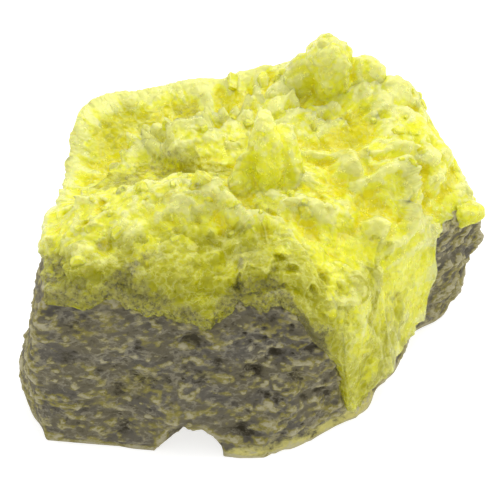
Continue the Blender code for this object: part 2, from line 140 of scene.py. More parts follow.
# Where the crust ends on the rock's sides: bearing, height.
CRUST_EDGE = (
    (-180, 0.0205), (-150, 0.0240), (-143, 0.0242), (-138, 0.0228), (-134, 0.0246), (-127, 0.0222),
    (-118, 0.0218), (-106, 0.0200), (-99, 0.0222), (-93, 0.0240), (-76, 0.0245), (-69, 0.0196),
    (-63, 0.0155), (-59, 0.0125), (-57, 0.0080), (-56, 0.0028), (-54, 0.0017), (-12, 0.0017),
    (-7, 0.0026), (-3, 0.0090), (0, 0.0180), (6, 0.0190), (12, 0.0175), (30, 0.0160), (60, 0.0175),
    (90, 0.0185), (130, 0.0175), (160, 0.0195),
)
CRUST_SINK = 0.0006
CRUST_LIFT = 0.0001
CRUST_LEAST = 0.0011
CRUST_OFF_FLOOR = 0.0001
# The crust's inner skin lies this deep in the rock, with one cell for so many of the outer skin's.
INNER_DEPTH = 0.0018
INNER_STEP = 4
# The way from the crust's middle to its edge counts as this long where the crust thins out.
EDGE_WAY = 0.035

# Large crystals: foot, tip, width and thickness in millimetres, then twist in degrees, corners, shoulder
# height and point size as shares of the whole.
LARGE_CRYSTALS = (
    ("pinnacle", (3.6, -4.0, 24.0), (2.3, 2.8, 37.6), 5.8, 4.6, 20, 5, 0.74, 0.66),
    ("pinnacle, right", (7.0, -3.0, 24.0), (5.4, 4.0, 35.2), 4.6, 4.0, 60, 5, 0.70, 0.60),
    ("pinnacle, left", (-1.6, -5.0, 24.0), (0.0, 0.0, 32.2), 5.0, 3.4, 10, 5, 0.55, 0.40),
    ("summit", (12.7, 21.5, 25.0), (12.6, 22.6, 36.4), 9.2, 7.2, 15, 6, 0.78, 0.55),
    ("summit, right", (19.0, 22.0, 24.0), (18.2, 23.0, 32.8), 6.8, 5.6, 40, 5, 0.75, 0.62),
    ("summit, left", (8.0, 21.5, 24.0), (8.4, 22.2, 33.4), 5.2, 5.0, 0, 5, 0.75, 0.60),
    ("block", (15.0, 1.5, 22.5), (16.5, 3.0, 31.0), 6.8, 5.0, 10, 4, 0.70, 0.72),
    ("bright crystal", (23.5, 3.0, 21.0), (25.0, 4.5, 30.0), 5.2, 4.8, 30, 5, 0.60, 0.50),
    ("white block", (8.8, -5.8, 22.0), (9.4, -6.8, 29.8), 5.8, 4.4, 70, 4, 0.65, 0.62),
    ("overhang", (10.5, -16.0, 17.0), (11.2, -21.0, 20.0), 7.0, 5.6, 0, 6, 0.60, 0.62),
    ("overhang, left", (-5.0, -20.5, 18.5), (-6.0, -26.2, 20.5), 7.5, 5.0, 0, 5, 0.60, 0.55),
    ("right knob", (32.0, 3.6, 17.2), (36.2, 3.6, 18.0), 3.4, 3.4, 0, 6, 0.60, 0.60),
    ("ridge, west block", (-24.4, -15.8, 21.0), (-25.0, -17.6, 28.4), 5.6, 4.8, 25, 4, 0.65, 0.65),
    ("flute, high", (17.5, -5.5, 20.0), (21.5, -8.5, 26.2), 4.6, 4.0, 0, 5, 0.60, 0.50),
    ("flute, low", (16.5, -10.5, 15.0), (20.5, -13.5, 20.5), 4.6, 3.8, 30, 5, 0.60, 0.50),
)
MILLIMETRE = 0.001
TIP_FLATNESS = 0.6
# Crystals in the crust are made fuller by this share and then stand back by this depth.
SET_FULLER = 1.25
SET_BACK = 0.0016

# Crests of the crust's top: how far each spreads for one step down to the left and to the right of its
# line, seen along it, and its points: x, y, height.
CREST_STEP = 0.004
CRESTS = (
    ("front ridge", 0.0013, 0.0072, (
        (-0.0290, -0.0030, 0.0268), (-0.0262, -0.0048, 0.0282), (-0.0239, -0.0063, 0.0287),
        (-0.0202, -0.0079, 0.0293), (-0.0169, -0.0068, 0.0298), (-0.0149, -0.0064, 0.0304),
        (-0.0128, -0.0064, 0.0311), (-0.0106, -0.0055, 0.0328), (-0.0083, -0.0060, 0.0313),
        (-0.0066, -0.0059, 0.0317), (-0.0049, -0.0059, 0.0325), (-0.0035, -0.0065, 0.0320),
        (-0.0022, -0.0074, 0.0306), (-0.0002, -0.0100, 0.0290), (0.0020, -0.0090, 0.0287),
        (0.0044, -0.0097, 0.0283), (0.0066, -0.0107, 0.0277),
    )),
    ("curved slab", 0.0060, 0.0030, (
        (0.0064, 0.0042, 0.0291), (0.0099, 0.0039, 0.0294), (0.0127, 0.0042, 0.0292),
        (0.0145, 0.0032, 0.0286), (0.0158, 0.0024, 0.0277),
    )),
    ("white block", 0.0010, 0.0042, (
        (0.0043, -0.0077, 0.0286), (0.0057, -0.0067, 0.0294), (0.0078, -0.0065, 0.0296),
        (0.0101, -0.0063, 0.0293),
    )),
    ("right shelf", 0.0050, 0.0013, (
        (0.0141, -0.0009, 0.0272), (0.0161, -0.0017, 0.0277), (0.0182, -0.0010, 0.0280),
        (0.0217, 0.0017, 0.0287),
    )),
    ("bright crystal", 0.0012, 0.0045, (
        (0.0222, 0.0060, 0.0286), (0.0228, 0.0069, 0.0295), (0.0247, 0.0070, 0.0298),
        (0.0271, 0.0067, 0.0292), (0.0269, 0.0017, 0.0286), (0.0265, -0.0005, 0.0277),
    )),
    ("block", 0.0010, 0.0040, (
        (0.0162, 0.0021, 0.0289), (0.0164, 0.0039, 0.0296), (0.0178, 0.0047, 0.0298),
        (0.0201, 0.0047, 0.0295),
    )),
    ("back rim", 0.0050, 0.0110, (
        (-0.0262, 0.0130, 0.0270), (-0.0236, 0.0180, 0.0290), (-0.0200, 0.0215, 0.0319),
        (-0.0140, 0.0235, 0.0324), (-0.0075, 0.0246, 0.0332), (0.0000, 0.0246, 0.0322),
        (0.0060, 0.0240, 0.0322),
    )),
    ("east rim", 0.0050, 0.0110, (
        (0.0180, 0.0225, 0.0310), (0.0225, 0.0212, 0.0311), (0.0262, 0.0175, 0.0303),
        (0.0292, 0.0135, 0.0288),
    )),
)
# Width of the band along the crests' lines that carries a painted highlight and eases the relief.
CREST_PALE_WIDTH = 0.0007
HOLLOW_DEPTH = 0.0017

# Places of their own in the crust: x, y, z, radius and strength.
# The golden places are sunk into the crust and coloured golden yellow there: painted glow and shade of its
# hollows.
GOLDEN_PLACES = (
    ("deep hole", 0.0056, -0.0030, 0.0280, 0.0018, 1.0),
    ("golden hollow", 0.0164, 0.0116, 0.0275, 0.0038, 1.3),
    ("golden shelf", 0.0160, -0.0045, 0.0255, 0.0036, 0.8),
    ("pocket", -0.0202, -0.0158, 0.0280, 0.0018, 0.7),
    ("behind the ridge", -0.0010, -0.0046, 0.0280, 0.0032, 0.9),
    ("trough, west", -0.0207, 0.0040, 0.0240, 0.0038, 0.7),
    ("trough, middle", -0.0143, 0.0020, 0.0250, 0.0046, 0.9),
    ("trough, east", -0.0069, 0.0025, 0.0260, 0.0048, 0.9),
    ("trough, end", -0.0017, 0.0000, 0.0270, 0.0036, 0.9),
    ("flutes", 0.0194, -0.0142, 0.0197, 0.0036, 0.6),
)
# Painted highlight: whitish patches on crystal tops, the summit and the back rim, where light falls on
# them.
PAINTED_HIGHLIGHT_PLACES = (
    ("white block", 0.0078, -0.0071, 0.0289, 0.0024, 0.9),
    ("block", 0.0146, 0.0021, 0.0291, 0.0026, 0.6),
    ("bright crystal", 0.0250, 0.0031, 0.0293, 0.0030, 0.6),
    ("overhang", 0.0112, -0.0222, 0.0206, 0.0030, 0.7),
    ("west block", -0.0251, -0.0184, 0.0271, 0.0022, 0.8),
    ("ridge slab", -0.0183, -0.0158, 0.0277, 0.0026, 0.3),
    ("summit", 0.0126, 0.0226, 0.0360, 0.0080, 0.5),
    ("back rim", -0.0100, 0.0260, 0.0280, 0.0100, 0.4),
)
# Painted shade: the trough, behind the pinnacle, a dip at the back, the lower corner and the flutes made
# darker.
PAINTED_SHADE_PLACES = (
    ("trough, far west", -0.0230, 0.0050, 0.0250, 0.0045, 0.6),
    ("trough, west", -0.0180, 0.0030, 0.0255, 0.0047, 1.0),
    ("trough, middle", -0.0120, 0.0040, 0.0255, 0.0047, 1.0),
    ("trough, east", -0.0060, 0.0020, 0.0265, 0.0047, 1.0),
    ("behind the pinnacle", 0.0010, 0.0030, 0.0275, 0.0045, 0.6),
    ("back dip", -0.0150, 0.0160, 0.0265, 0.0060, 0.5),
    ("lower corner", 0.0200, -0.0190, 0.0080, 0.0120, 0.85),
    ("flutes", 0.0180, -0.0150, 0.0190, 0.0080, 0.65),
)
# Greyed places: stains at the back and elsewhere, and painted shade in the trough, under the overhang, in
# the pocket and at the lower corner.
STAIN_AND_SHADE_PLACES = (
    ("back left", -0.0210, 0.0164, 0.0262, 0.0042, 0.6),
    ("back", -0.0088, 0.0225, 0.0251, 0.0042, 0.45),
    ("summit foot", 0.0066, 0.0211, 0.0318, 0.0026, 0.5),
    ("flutes, low", 0.0212, -0.0112, 0.0132, 0.0030, 0.6),
    ("under the overhang", 0.0105, -0.0242, 0.0174, 0.0032, 0.9),
    ("trough, west", -0.0180, 0.0040, 0.0255, 0.0050, 0.65),
    ("trough, middle", -0.0125, 0.0060, 0.0250, 0.0050, 0.65),
    ("back, west", -0.0160, 0.0190, 0.0280, 0.0050, 0.4),
    ("back, middle", 0.0000, 0.0190, 0.0280, 0.0045, 0.4),
    ("lower corner", 0.0190, -0.0200, 0.0060, 0.0080, 0.35),
    ("pocket", -0.0202, -0.0158, 0.0283, 0.0022, 0.6),
)

# These stand so far out of the crust that each group has a skin of its own.
LOOSE_GROUPS = (
    ((0.0024, -0.0008, 0.0285), ("pinnacle", "pinnacle, right", "pinnacle, left")),
    ((0.0130, 0.0222, 0.0280), ("summit", "summit, right", "summit, left")),
    ((0.0335, 0.0036, 0.0175), ("right knob",)),
)
GROUP_SOFTNESS = 0.0008
GROUP_LEAST = 0.0008
GROUP_ROWS, GROUP_COLUMNS = 110, 150
LOOSE_CRYSTALS = [name for _, names in LOOSE_GROUPS for name in names]

# Dark hollows in the rock: x, y, z and depth.
ROCK_PITS = (
    (0.0008, -0.0258, 0.0125, 0.0020), (0.0042, -0.0243, 0.0150, 0.0016),
    (0.0058, -0.0244, 0.0147, 0.0014), (0.0075, -0.0257, 0.0114, 0.0018),
    (0.0114, -0.0246, 0.0076, 0.0014), (0.0041, -0.0274, 0.0092, 0.0012),
    (-0.0012, -0.0298, 0.0044, 0.0014), (0.0002, -0.0301, 0.0041, 0.0014),
    (-0.0081, -0.0236, 0.0167, 0.0010), (-0.0193, -0.0258, 0.0127, 0.0008),
    (-0.0152, -0.0265, 0.0104, 0.0008), (0.0091, -0.0241, 0.0150, 0.0010),
    (0.0122, -0.0243, 0.0063, 0.0010),
)
ROCK_PIT_SIZE = 0.0016
# Under the crust the rock stands this far in from its faces.
ROCK_DRAWN_IN = 0.0006

# Layers of smooth noise: height, size and seed of each.
ROCK_LUMPS = ((0.0009, 0.0090, 0), (0.0005, 0.0042, 0))
ROCK_BEDS = (
    (0.00050, 0.0044, 20), (0.00032, 0.0020, 21), (0.00026, 0.0010, 22), (0.00020, 0.0006, 25),
)
CRUST_LUMPS = ((0.0010, 0.0050, 1),)
CRUST_BROAD = ((0.0003, 0.0060, 81),)
EDGE_TONGUES = ((0.0013, 0.0046, 40), (0.0009, 0.0019, 41), (0.0006, 0.0009, 42))

# Stretches of bearing with soft ends: the crust's stained front, and the front given painted shade.
STAINED_FRONT = ((-170, -150), (-52, -70))
PAINTED_SHADE_FRONT = ((-172, -140), (-48, -66))

HASH_PRIMES = np.array([73856093, 19349663, 83492791])
HASH_MOST = 0xFFFFFF
POLES = np.array([[0.0, 0.0, -1.0], [0.0, 0.0, 1.0]])
WHITE = (1.0, 1.0, 1.0, 1.0)

# The stage: half the floor's side, the lights' name, strength setting, place and side, and the camera.
HALF_FLOOR = 1.5
LIGHTS = (
    ("overhead", "overhead", (0.16, 0.42, 0.62), 0.80),
    ("fill", "fill", (-0.25, -0.60, 0.30), 0.60),
    ("right_side", "right", (0.55, 0.05, 0.20), 0.40),
    ("left_side", "left", (-0.55, 0.10, 0.20), 0.40),
)
LIGHTS_TARGET = (0.0, 0.0, 0.01)
CAMERA_TARGET = (-0.0011, 0.0004, 0.0135)
CAMERA_RISE, CAMERA_DISTANCE = math.radians(40), 0.360
CAMERA_LENS, CAMERA_SENSOR = 171.0, 36.0
CAMERA_NEAR, CAMERA_FAR = 0.01, 10.0


def bearing_lean(bearing, lean):
    """Unit vectors that look along a bearing, leaning up from level, both in degrees."""
    bearing, lean = np.radians(bearing), np.radians(lean)
    return np.stack(
        (np.cos(lean) * np.cos(bearing), np.cos(lean) * np.sin(bearing), np.sin(lean) + 0 * bearing), -1
    )


def hashed(cells, seed):
    """A repeatable number from 0 to 1 for each whole-number cell."""
    mixed = cells @ HASH_PRIMES + seed * 2654435
    mixed = (mixed ^ (mixed >> 13)) * 1274126177
    return ((mixed ^ (mixed >> 16)) & HASH_MOST) / HASH_MOST


def lumps(points, size, seed):
    """Smooth noise from -1 to 1: values at the corners of cubes, blended by smoothstep inside them."""
    scaled = points / size
    cell = np.floor(scaled).astype(np.int64)
    share = scaled - cell
    share = share * share * (3 - 2 * share)
    total = np.zeros(points.shape[:-1])
    for corner in np.ndindex(2, 2, 2):
        corner = np.array(corner)
        weight = np.prod(np.where(corner, share, 1 - share), -1)
        total += weight * hashed(cell + corner, seed)
    return 2 * total - 1


def lumps_vector(points, size, seed):
    """Three smooth noises from -1 to 1 as one vector."""
    return np.stack([lumps(points, size, SEED + seed + turn) for turn in (0, 1, 2)], -1)


def layered(points, layers):
    """The sum of layers of smooth noise, each its height times the noise of its size."""
    return sum(height * lumps(points, size, SEED + seed) for height, size, seed in layers)


def smoothstep(low, high, value):
    """A smooth rise from 0 at low to 1 at high."""
    share = np.clip((value - low) / (high - low), 0, 1)
    return share * share * (3 - 2 * share)


def stretch(ends, value):
    """The product of two smoothsteps: 1 inside a stretch and 0 outside its soft ends."""
    return smoothstep(*ends[0], value) * smoothstep(*ends[1], value)


def unit(vectors):
    """Each vector over its length."""
    return vectors / np.maximum(np.linalg.norm(vectors, axis=-1, keepdims=True), 1e-12)


def hashed_vector(cells, seed):
    """Three numbers from 0 to 1 for each whole-number cell."""
    return np.stack([hashed(cells, seed + turn) for turn in (0, 1, 2)], -1)


def packed_crystals(points, size, seed):
    """Height from 0 to 1 of crystals packed side by side. Each cube of the given size holds one seat. From
    the seat a flat-faced cone with its own turn falls away: the greatest of three distances along its axes
    and of their sum. The highest cone counts, so flat facets meet in creases."""
    scaled = points / size
    cell = np.floor(scaled).astype(np.int64)
    height = np.zeros(points.shape[:-1])
    for step in np.ndindex(3, 3, 3):
        near = cell + np.array(step) - 1
        away = scaled - near - hashed_vector(near, seed)
        first = unit(hashed_vector(near, seed + 3) - 0.5)
        second = unit(np.cross(first, hashed_vector(near, seed + 6) - 0.5))
        third = np.cross(first, second)
        a, b, c = (np.abs(np.sum(away * axis, -1)) for axis in (first, second, third))
        fall = np.maximum.reduce((1.35 * a, 1.0 * b, 0.75 * c, 0.66 * (a + b + c)))
        height = np.maximum(height, 1 - fall)
    return height


def bowls(points, size, seed):
    """Bowls that meet in sharp crests, about 0.6 high: packed crystals turned over."""
    return 0.6 - packed_crystals(points, size, SEED + seed)


def grains(points, size, seed):
    """Packed crystals from -0.5 to 0.5."""
    return packed_crystals(points, size, SEED + seed) - 0.5


def plate_kernel(distance):
    """The bent plate's radial term, r squared times log r."""
    return distance**2 * np.log(np.maximum(distance, 1e-9))


def plate_weights():
    """The weights with which the thin plate passes through every point of CRUST_TOP."""
    known = np.array([row[1:] for row in CRUST_TOP])
    plan, heights = known[:, :2], known[:, 2]
    count = len(known)
    system = np.zeros((count + 3, count + 3))
    system[:count, :count] = plate_kernel(np.linalg.norm(plan[:, None] - plan, axis=-1))
    system[:count, count:] = np.column_stack((np.ones(count), plan))
    system[count:, :count] = system[:count, count:].T
    return plan, np.linalg.solve(system, np.append(heights, np.zeros(3)))


PLATE_PLAN, PLATE_WEIGHTS = plate_weights()


def crust_top(x, y):
    """Height of the crust's top: the thin plate's kernel terms plus its plane."""
    plan = np.stack((x, y), -1)
    kernel = plate_kernel(np.linalg.norm(plan[..., None, :] - PLATE_PLAN, axis=-1))
    constant, slope_x, slope_y = PLATE_WEIGHTS[-3:]
    return kernel @ PLATE_WEIGHTS[:-3] + constant + slope_x * x + slope_y * y


def flat_reach(facing, distance):
    """Distance along rays to a plane: its own distance over the cosine between the ray and its normal."""
    return np.where(facing > SQUARE_ENOUGH, distance / np.maximum(facing, SQUARE_ENOUGH), FAR)


def wall_reach(rays, on_crust=False):
    """Distance along each ray to the flat faces, with the edges between them rounded."""
    reach = {}
    for name, bearing, lean, rock_distance, crust_distance in FACES:
        distance = crust_distance if on_crust else rock_distance
        facing = rays @ bearing_lean(bearing, lean)
        reach[name] = flat_reach(facing, distance)
    first, second = STEPPED_FACES
    reach[first] = np.maximum(reach[first], reach.pop(second))
    total = sum(np.exp(-distances / EDGE_SOFTNESS) for distances in reach.values())
    return -EDGE_SOFTNESS * np.log(np.maximum(total, 1e-300))


def notch_reach(rays):
    """Distance along each ray to the roof of the hollow under the front, far away outside its width."""
    off_centre = (np.degrees(np.arctan2(rays[..., 1], rays[..., 0])) - NOTCH_BEARING) / NOTCH_HALF_WIDTH
    facing = rays @ bearing_lean(NOTCH_BEARING, NOTCH_LEAN)
    return flat_reach(facing, NOTCH_DISTANCE) + NOTCH_FADE * off_centre**4


def top_reach(rays, lift, most, top=crust_top, halvings=14):
    """Distance along each ray to a top surface moved by lift, found by halving between 0 and most."""
    low, high = np.zeros_like(most), most.copy()
    for _ in range(halvings):
        middle = (low + high) / 2
        x, y, z = np.moveaxis(HEART + rays * middle[..., None], -1, 0)
        inside = z < top(x, y) + lift
        low = np.where(inside, middle, low)
        high = np.where(inside, high, middle)
    return low


def floor_reach(rays, depth):
    """Distance along each ray down to a level below z = 0 by depth."""
    return np.where(rays[..., 2] < -1e-6, (HEART[2] + depth) / np.maximum(-rays[..., 2], 1e-6), FAR)


def rock_base(rays):
    """Distance along each ray to the rock's flat faces, its hollow, its top and its floor."""
    side = np.minimum(wall_reach(rays), notch_reach(rays))
    reach = top_reach(rays, -ROCK_COVER, side)
    return np.minimum(reach, floor_reach(rays, FLOOR_SINK))


def rock_reach(rays):
    """Distance along each ray to the rock with its large lumps."""
    reach = rock_base(rays)
    points = HEART + rays * reach[..., None]
    reach = reach + layered(points, ROCK_LUMPS)
    return np.minimum(reach, floor_reach(rays, 0))


def frames_along(axes, twists):
    """For each axis two unit vectors at right angles to it, turned round it by its twist in degrees."""
    axes = unit(axes)
    upright = np.abs(axes[:, 2:]) >= 0.9
    side = unit(np.cross(axes, np.where(upright, (1.0, 0.0, 0.0), (0.31, 0.17, 0.93))))
    other = np.cross(axes, side)
    turn = np.radians(twists)[:, None]
    return np.cos(turn) * side + np.sin(turn) * other, np.cos(turn) * other - np.sin(turn) * side, axes


def crystal_planes(row, fuller=1.0, foot_size=0.78):
    """Outward normals of a crystal's flat faces and a point on each: lower and upper sides, tip and foot.
    It is made fuller where relief will be cut into it, and spreads to its foot where it stands free."""
    _, *lengths, twist, corners, shoulder, point = row
    foot, tip, width, thickness = (MILLIMETRE * np.array(length) for length in lengths)
    across, along, up = (rows[0] for rows in frames_along((tip - foot)[None], np.array([twist])))
    length = np.linalg.norm(tip - foot)
    turns = np.radians(360 / corners * (np.arange(corners) + 0.5))
    rings = []
    sizes = ((0.0, foot_size, foot_size), (shoulder, 1.0, 1.0), (1.0, point, TIP_FLATNESS * point))
    for height, wide, thick in sizes:
        flat = np.cos(turns)[:, None] * across * width * fuller * wide
        spread = (flat + np.sin(turns)[:, None] * along * thickness * fuller * thick) / 2
        rings.append(foot + up * length * height + spread)
    rings = np.array(rings)
    after = np.roll(rings, -1, axis=1)
    edge, middle = after[1] - rings[1], (rings[1] + after[1]) / 2
    normals, at = [], []
    for other in (0, 2):
        rise = (rings[other] + after[other]) / 2 - middle
        normal = unit(np.cross(edge, rise))
        outward = np.sum(normal * (middle - foot - up * length * shoulder), -1, keepdims=True)
        normals.append(normal * np.sign(outward))
        at.append(rings[1])
    return np.concatenate(normals + [up[None], -up[None]]), np.concatenate(at + [tip[None], foot[None]])


def crystal_reach(rays, normals, at, origin=HEART):
    """Distance along each ray from an origin to where it leaves a crystal, and 0 where it misses it."""
    facing = rays @ normals.T
    offsets = np.sum(normals * (at - origin), -1)
    hits = offsets / np.where(np.abs(facing) < 1e-6, 1e-6, facing)
    leaves = np.min(np.where(facing > 0, hits, FAR), -1)
    enters = np.max(np.where(facing < 0, hits, -FAR), -1)
    return np.where((enters < leaves) & (leaves > 0), leaves, 0.0)


def crust_base(rays):
    """Distance along each ray to the crust's flat faces and lumps, and to the crystals set in it."""
    side = wall_reach(rays, on_crust=True) - CRUST_SINK
    reach = top_reach(rays, CRUST_LIFT, side, skin_top)
    reach = reach + layered(HEART + rays * reach[..., None], CRUST_LUMPS)
    for row in LARGE_CRYSTALS:
        if row[0] not in LOOSE_CRYSTALS:
            normals, at = crystal_planes(row, fuller=SET_FULLER)
            reach = np.maximum(reach, crystal_reach(rays, normals, at) - SET_BACK)
    return reach


def blurred(field, radius, wrap=False):
    """The mean of a grid's values over a square of cells this far on every side, twice over."""
    for _ in range(2):
        for axis in (0, 1):
            pad = [(0, 0)] * field.ndim
            pad[axis] = (radius + 1, radius)
            mode = "wrap" if wrap and axis == 1 else "edge"
            total = np.cumsum(np.pad(field, pad, mode=mode), axis=axis)
            high = np.take(total, np.arange(2 * radius + 1, total.shape[axis]), axis=axis)
            low = np.take(total, np.arange(0, total.shape[axis] - 2 * radius - 1), axis=axis)
            field = (high - low) / (2 * radius + 1)
    return field


def grid_normals(points, wrap=False):
    """Unit normals of a grid of points, from the differences along its rows and columns."""
    along = np.gradient(points, axis=0)
    if wrap:
        across = (np.roll(points, -1, axis=1) - np.roll(points, 1, axis=1)) / 2
    else:
        across = np.gradient(points, axis=1)
    normals = unit(np.cross(across, along))
    outward = np.sign(np.sum(normals * (points - HEART), -1, keepdims=True))
    return normals * np.where(outward == 0, 1, outward)


def proudness(points, normals, radius, wrap=False):
    """How far each point of a grid stands out from the mean of those round it, along its normal."""
    return np.sum((points - blurred(points, radius, wrap)) * normals, -1)


def linked(name, data):
    """An object of this name for the data, in the scene."""
    made = bpy.data.objects.new(name, data)
    bpy.context.scene.collection.objects.link(made)
    return made


def piece_from(name, points, faces, finish, attributes=(), domain="POINT", smooth=True):
    """A mesh object of equal-sided faces with its finish and its float attributes, riding on the body."""
    mesh = bpy.data.meshes.new(name)
    mesh.vertices.add(len(points))
    mesh.vertices.foreach_set("co", (points - SPECIMEN_CENTRE).astype(np.float32).ravel())
    count, sides = faces.shape
    mesh.loops.add(faces.size)
    mesh.loops.foreach_set("vertex_index", faces.astype(np.int32).ravel())
    mesh.polygons.add(count)
    mesh.polygons.foreach_set("loop_start", np.arange(0, faces.size, sides, dtype=np.int32))
    mesh.polygons.foreach_set("use_smooth", np.full(count, smooth))
    for label, values in attributes:
        layer = mesh.attributes.new(label, "FLOAT", domain)
        layer.data.foreach_set("value", values.astype(np.float32).ravel())
    mesh.update(calc_edges=True)
    mesh.materials.append(finish)
    piece = linked(name, mesh)
    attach(piece, BODY)
    return piece


# ---------------------------------------------------------------- finishes


class Nodes:
    """A short way to write a material's nodes and the links between them."""

    def __init__(self, name):
        self.material = bpy.data.materials.new(name)
        self.material.use_nodes = True
        self.tree = self.material.node_tree
        self.shader = self.tree.nodes["Principled BSDF"]

    def add(self, kind, settings=(), **inputs):
        """A node of this kind; an input is a value, or another node's output to link."""
        made = self.tree.nodes.new(kind)
        for label, value in dict(settings).items():
            setattr(made, label, value)
        for label, value in inputs.items():
            self.feed(made.inputs[label.replace("_", " ")], value)
        return made

    def feed(self, socket, value):
        """Links an output to the socket, or sets its value."""
        if isinstance(value, bpy.types.NodeSocket):
            self.tree.links.new(value, socket)
        elif socket.type == "RGBA":
            socket.default_value = (*value, 1.0)
        else:
            socket.default_value = value

    def attribute(self, label):
        """The value of one of the mesh's float attributes."""
        return self.add("ShaderNodeAttribute", {"attribute_name": label}).outputs["Fac"]

    def place(self, stretch=(1.0, 1.0, 1.0), turn=(0.0, 0.0, 0.0)):
        """Object coordinates in metres, stretched and turned."""
        where = self.add("ShaderNodeTexCoord").outputs["Object"]
        return self.add("ShaderNodeMapping", Vector=where, Scale=stretch, Rotation=turn).outputs["Vector"]

    def noise(self, size, detail=3.0, roughness=0.55, at=None):
        """Cloudy noise from 0 to 1 whose blotches are about this size in metres."""
        at = self.place() if at is None else at
        made = self.add(
            "ShaderNodeTexNoise", Vector=at, Scale=1 / size, Detail=detail, Roughness=roughness
        )
        return made.outputs["Fac"]

    def warped(self, size, way):
        """Object coordinates pushed about by noise of this size, as far as the way given."""
        wavy = self.add("ShaderNodeTexNoise", Vector=self.place(), Scale=1 / size, Detail=2.0)
        centred = self.vector("SUBTRACT", wavy.outputs["Color"], (0.5, 0.5, 0.5))
        return self.vector("MULTIPLY_ADD", centred, (2 * way, 2 * way, 2 * way), self.place())

    def worked(self, kind, operation, values):
        """The outputs of a node that puts its values together by an operation."""
        made = self.add(kind, {"operation": operation})
        for socket, value in zip(made.inputs, values):
            self.feed(socket, value)
        return made.outputs

    def vector(self, operation, *values):
        """Vectors put together."""
        output = "Value" if operation == "DOT_PRODUCT" else "Vector"
        return self.worked("ShaderNodeVectorMath", operation, values)[output]

    def math(self, operation, *values):
        """Numbers put together."""
        return self.worked("ShaderNodeMath", operation, values)[0]

    def facets(self, size, at):
        """Flat cells with a tilt of their own: the tilted height, and a random number for each cell."""
        cells = self.add("ShaderNodeTexVoronoi", Vector=at, Scale=1 / size)
        away = self.vector("SUBTRACT", at, cells.outputs["Position"])
        tilt = self.vector("SUBTRACT", cells.outputs["Color"], (0.5, 0.5, 0.5))
        return self.vector("DOT_PRODUCT", away, tilt), cells.outputs["Color"]

    def creases(self, size, at):
        """Distance to the borders between flat cells, in cell sizes."""
        feature = {"feature": "DISTANCE_TO_EDGE"}
        return self.add("ShaderNodeTexVoronoi", feature, Vector=at, Scale=1 / size).outputs["Distance"]

    def filaments(self, size, detail=4.0, roughness=0.6, at=None):
        """Winding lines: 1 where noise crosses its middle, falling to 0 away from there."""
        wave = self.math("MULTIPLY_ADD", self.noise(size, detail, roughness, at), 2.0, -1.0)
        return self.math("SUBTRACT", 1.0, self.math("ABSOLUTE", wave))

    def blend(self, value, *waves):
        """The value plus noises that swing round their middle, each with its strength."""
        for wave, strength in waves:
            swing = self.math("MULTIPLY", self.math("SUBTRACT", wave, 0.5), strength)
            value = self.math("ADD", value, swing)
        return value

    def ramp(self, value, low, high, to_low=0.0, to_high=1.0):
        """The value carried smoothly from one range to another, and held at its ends."""
        made = self.add(
            "ShaderNodeMapRange", {"interpolation_type": "SMOOTHSTEP"},
            Value=value, From_Min=low, From_Max=high, To_Min=to_low, To_Max=to_high,
        )
        return made.outputs["Result"]

    def mix(self, share, first, second):
        """One colour over another by a share from 0 to 1."""
        made = self.add("ShaderNodeMix", {"data_type": "RGBA"}, Factor=share)
        self.feed(made.inputs[6], first)
        self.feed(made.inputs[7], second)
        return made.outputs[2]

    def coat(self, under, over, value, low, high, most=1.0):
        """A colour laid over another where the value is high, up to its greatest share."""
        return self.mix(self.ramp(value, low, high, 0.0, most), under, over)

    def bump(self, height, distance, strength, below=None):
        """A normal tilted by a height field, over another such normal."""
        made = self.add("ShaderNodeBump", Height=height, Distance=distance, Strength=strength)
        if below is not None:
            self.feed(made.inputs["Normal"], below)
        return made.outputs["Normal"]

    def dressed(self, colour, roughness, normal):
        """The material, with its shader fed by the colour, the roughness and the normal."""
        for label, value in (("Base Color", colour), ("Roughness", roughness), ("Normal", normal)):
            self.feed(self.shader.inputs[label], value)
        return self.material


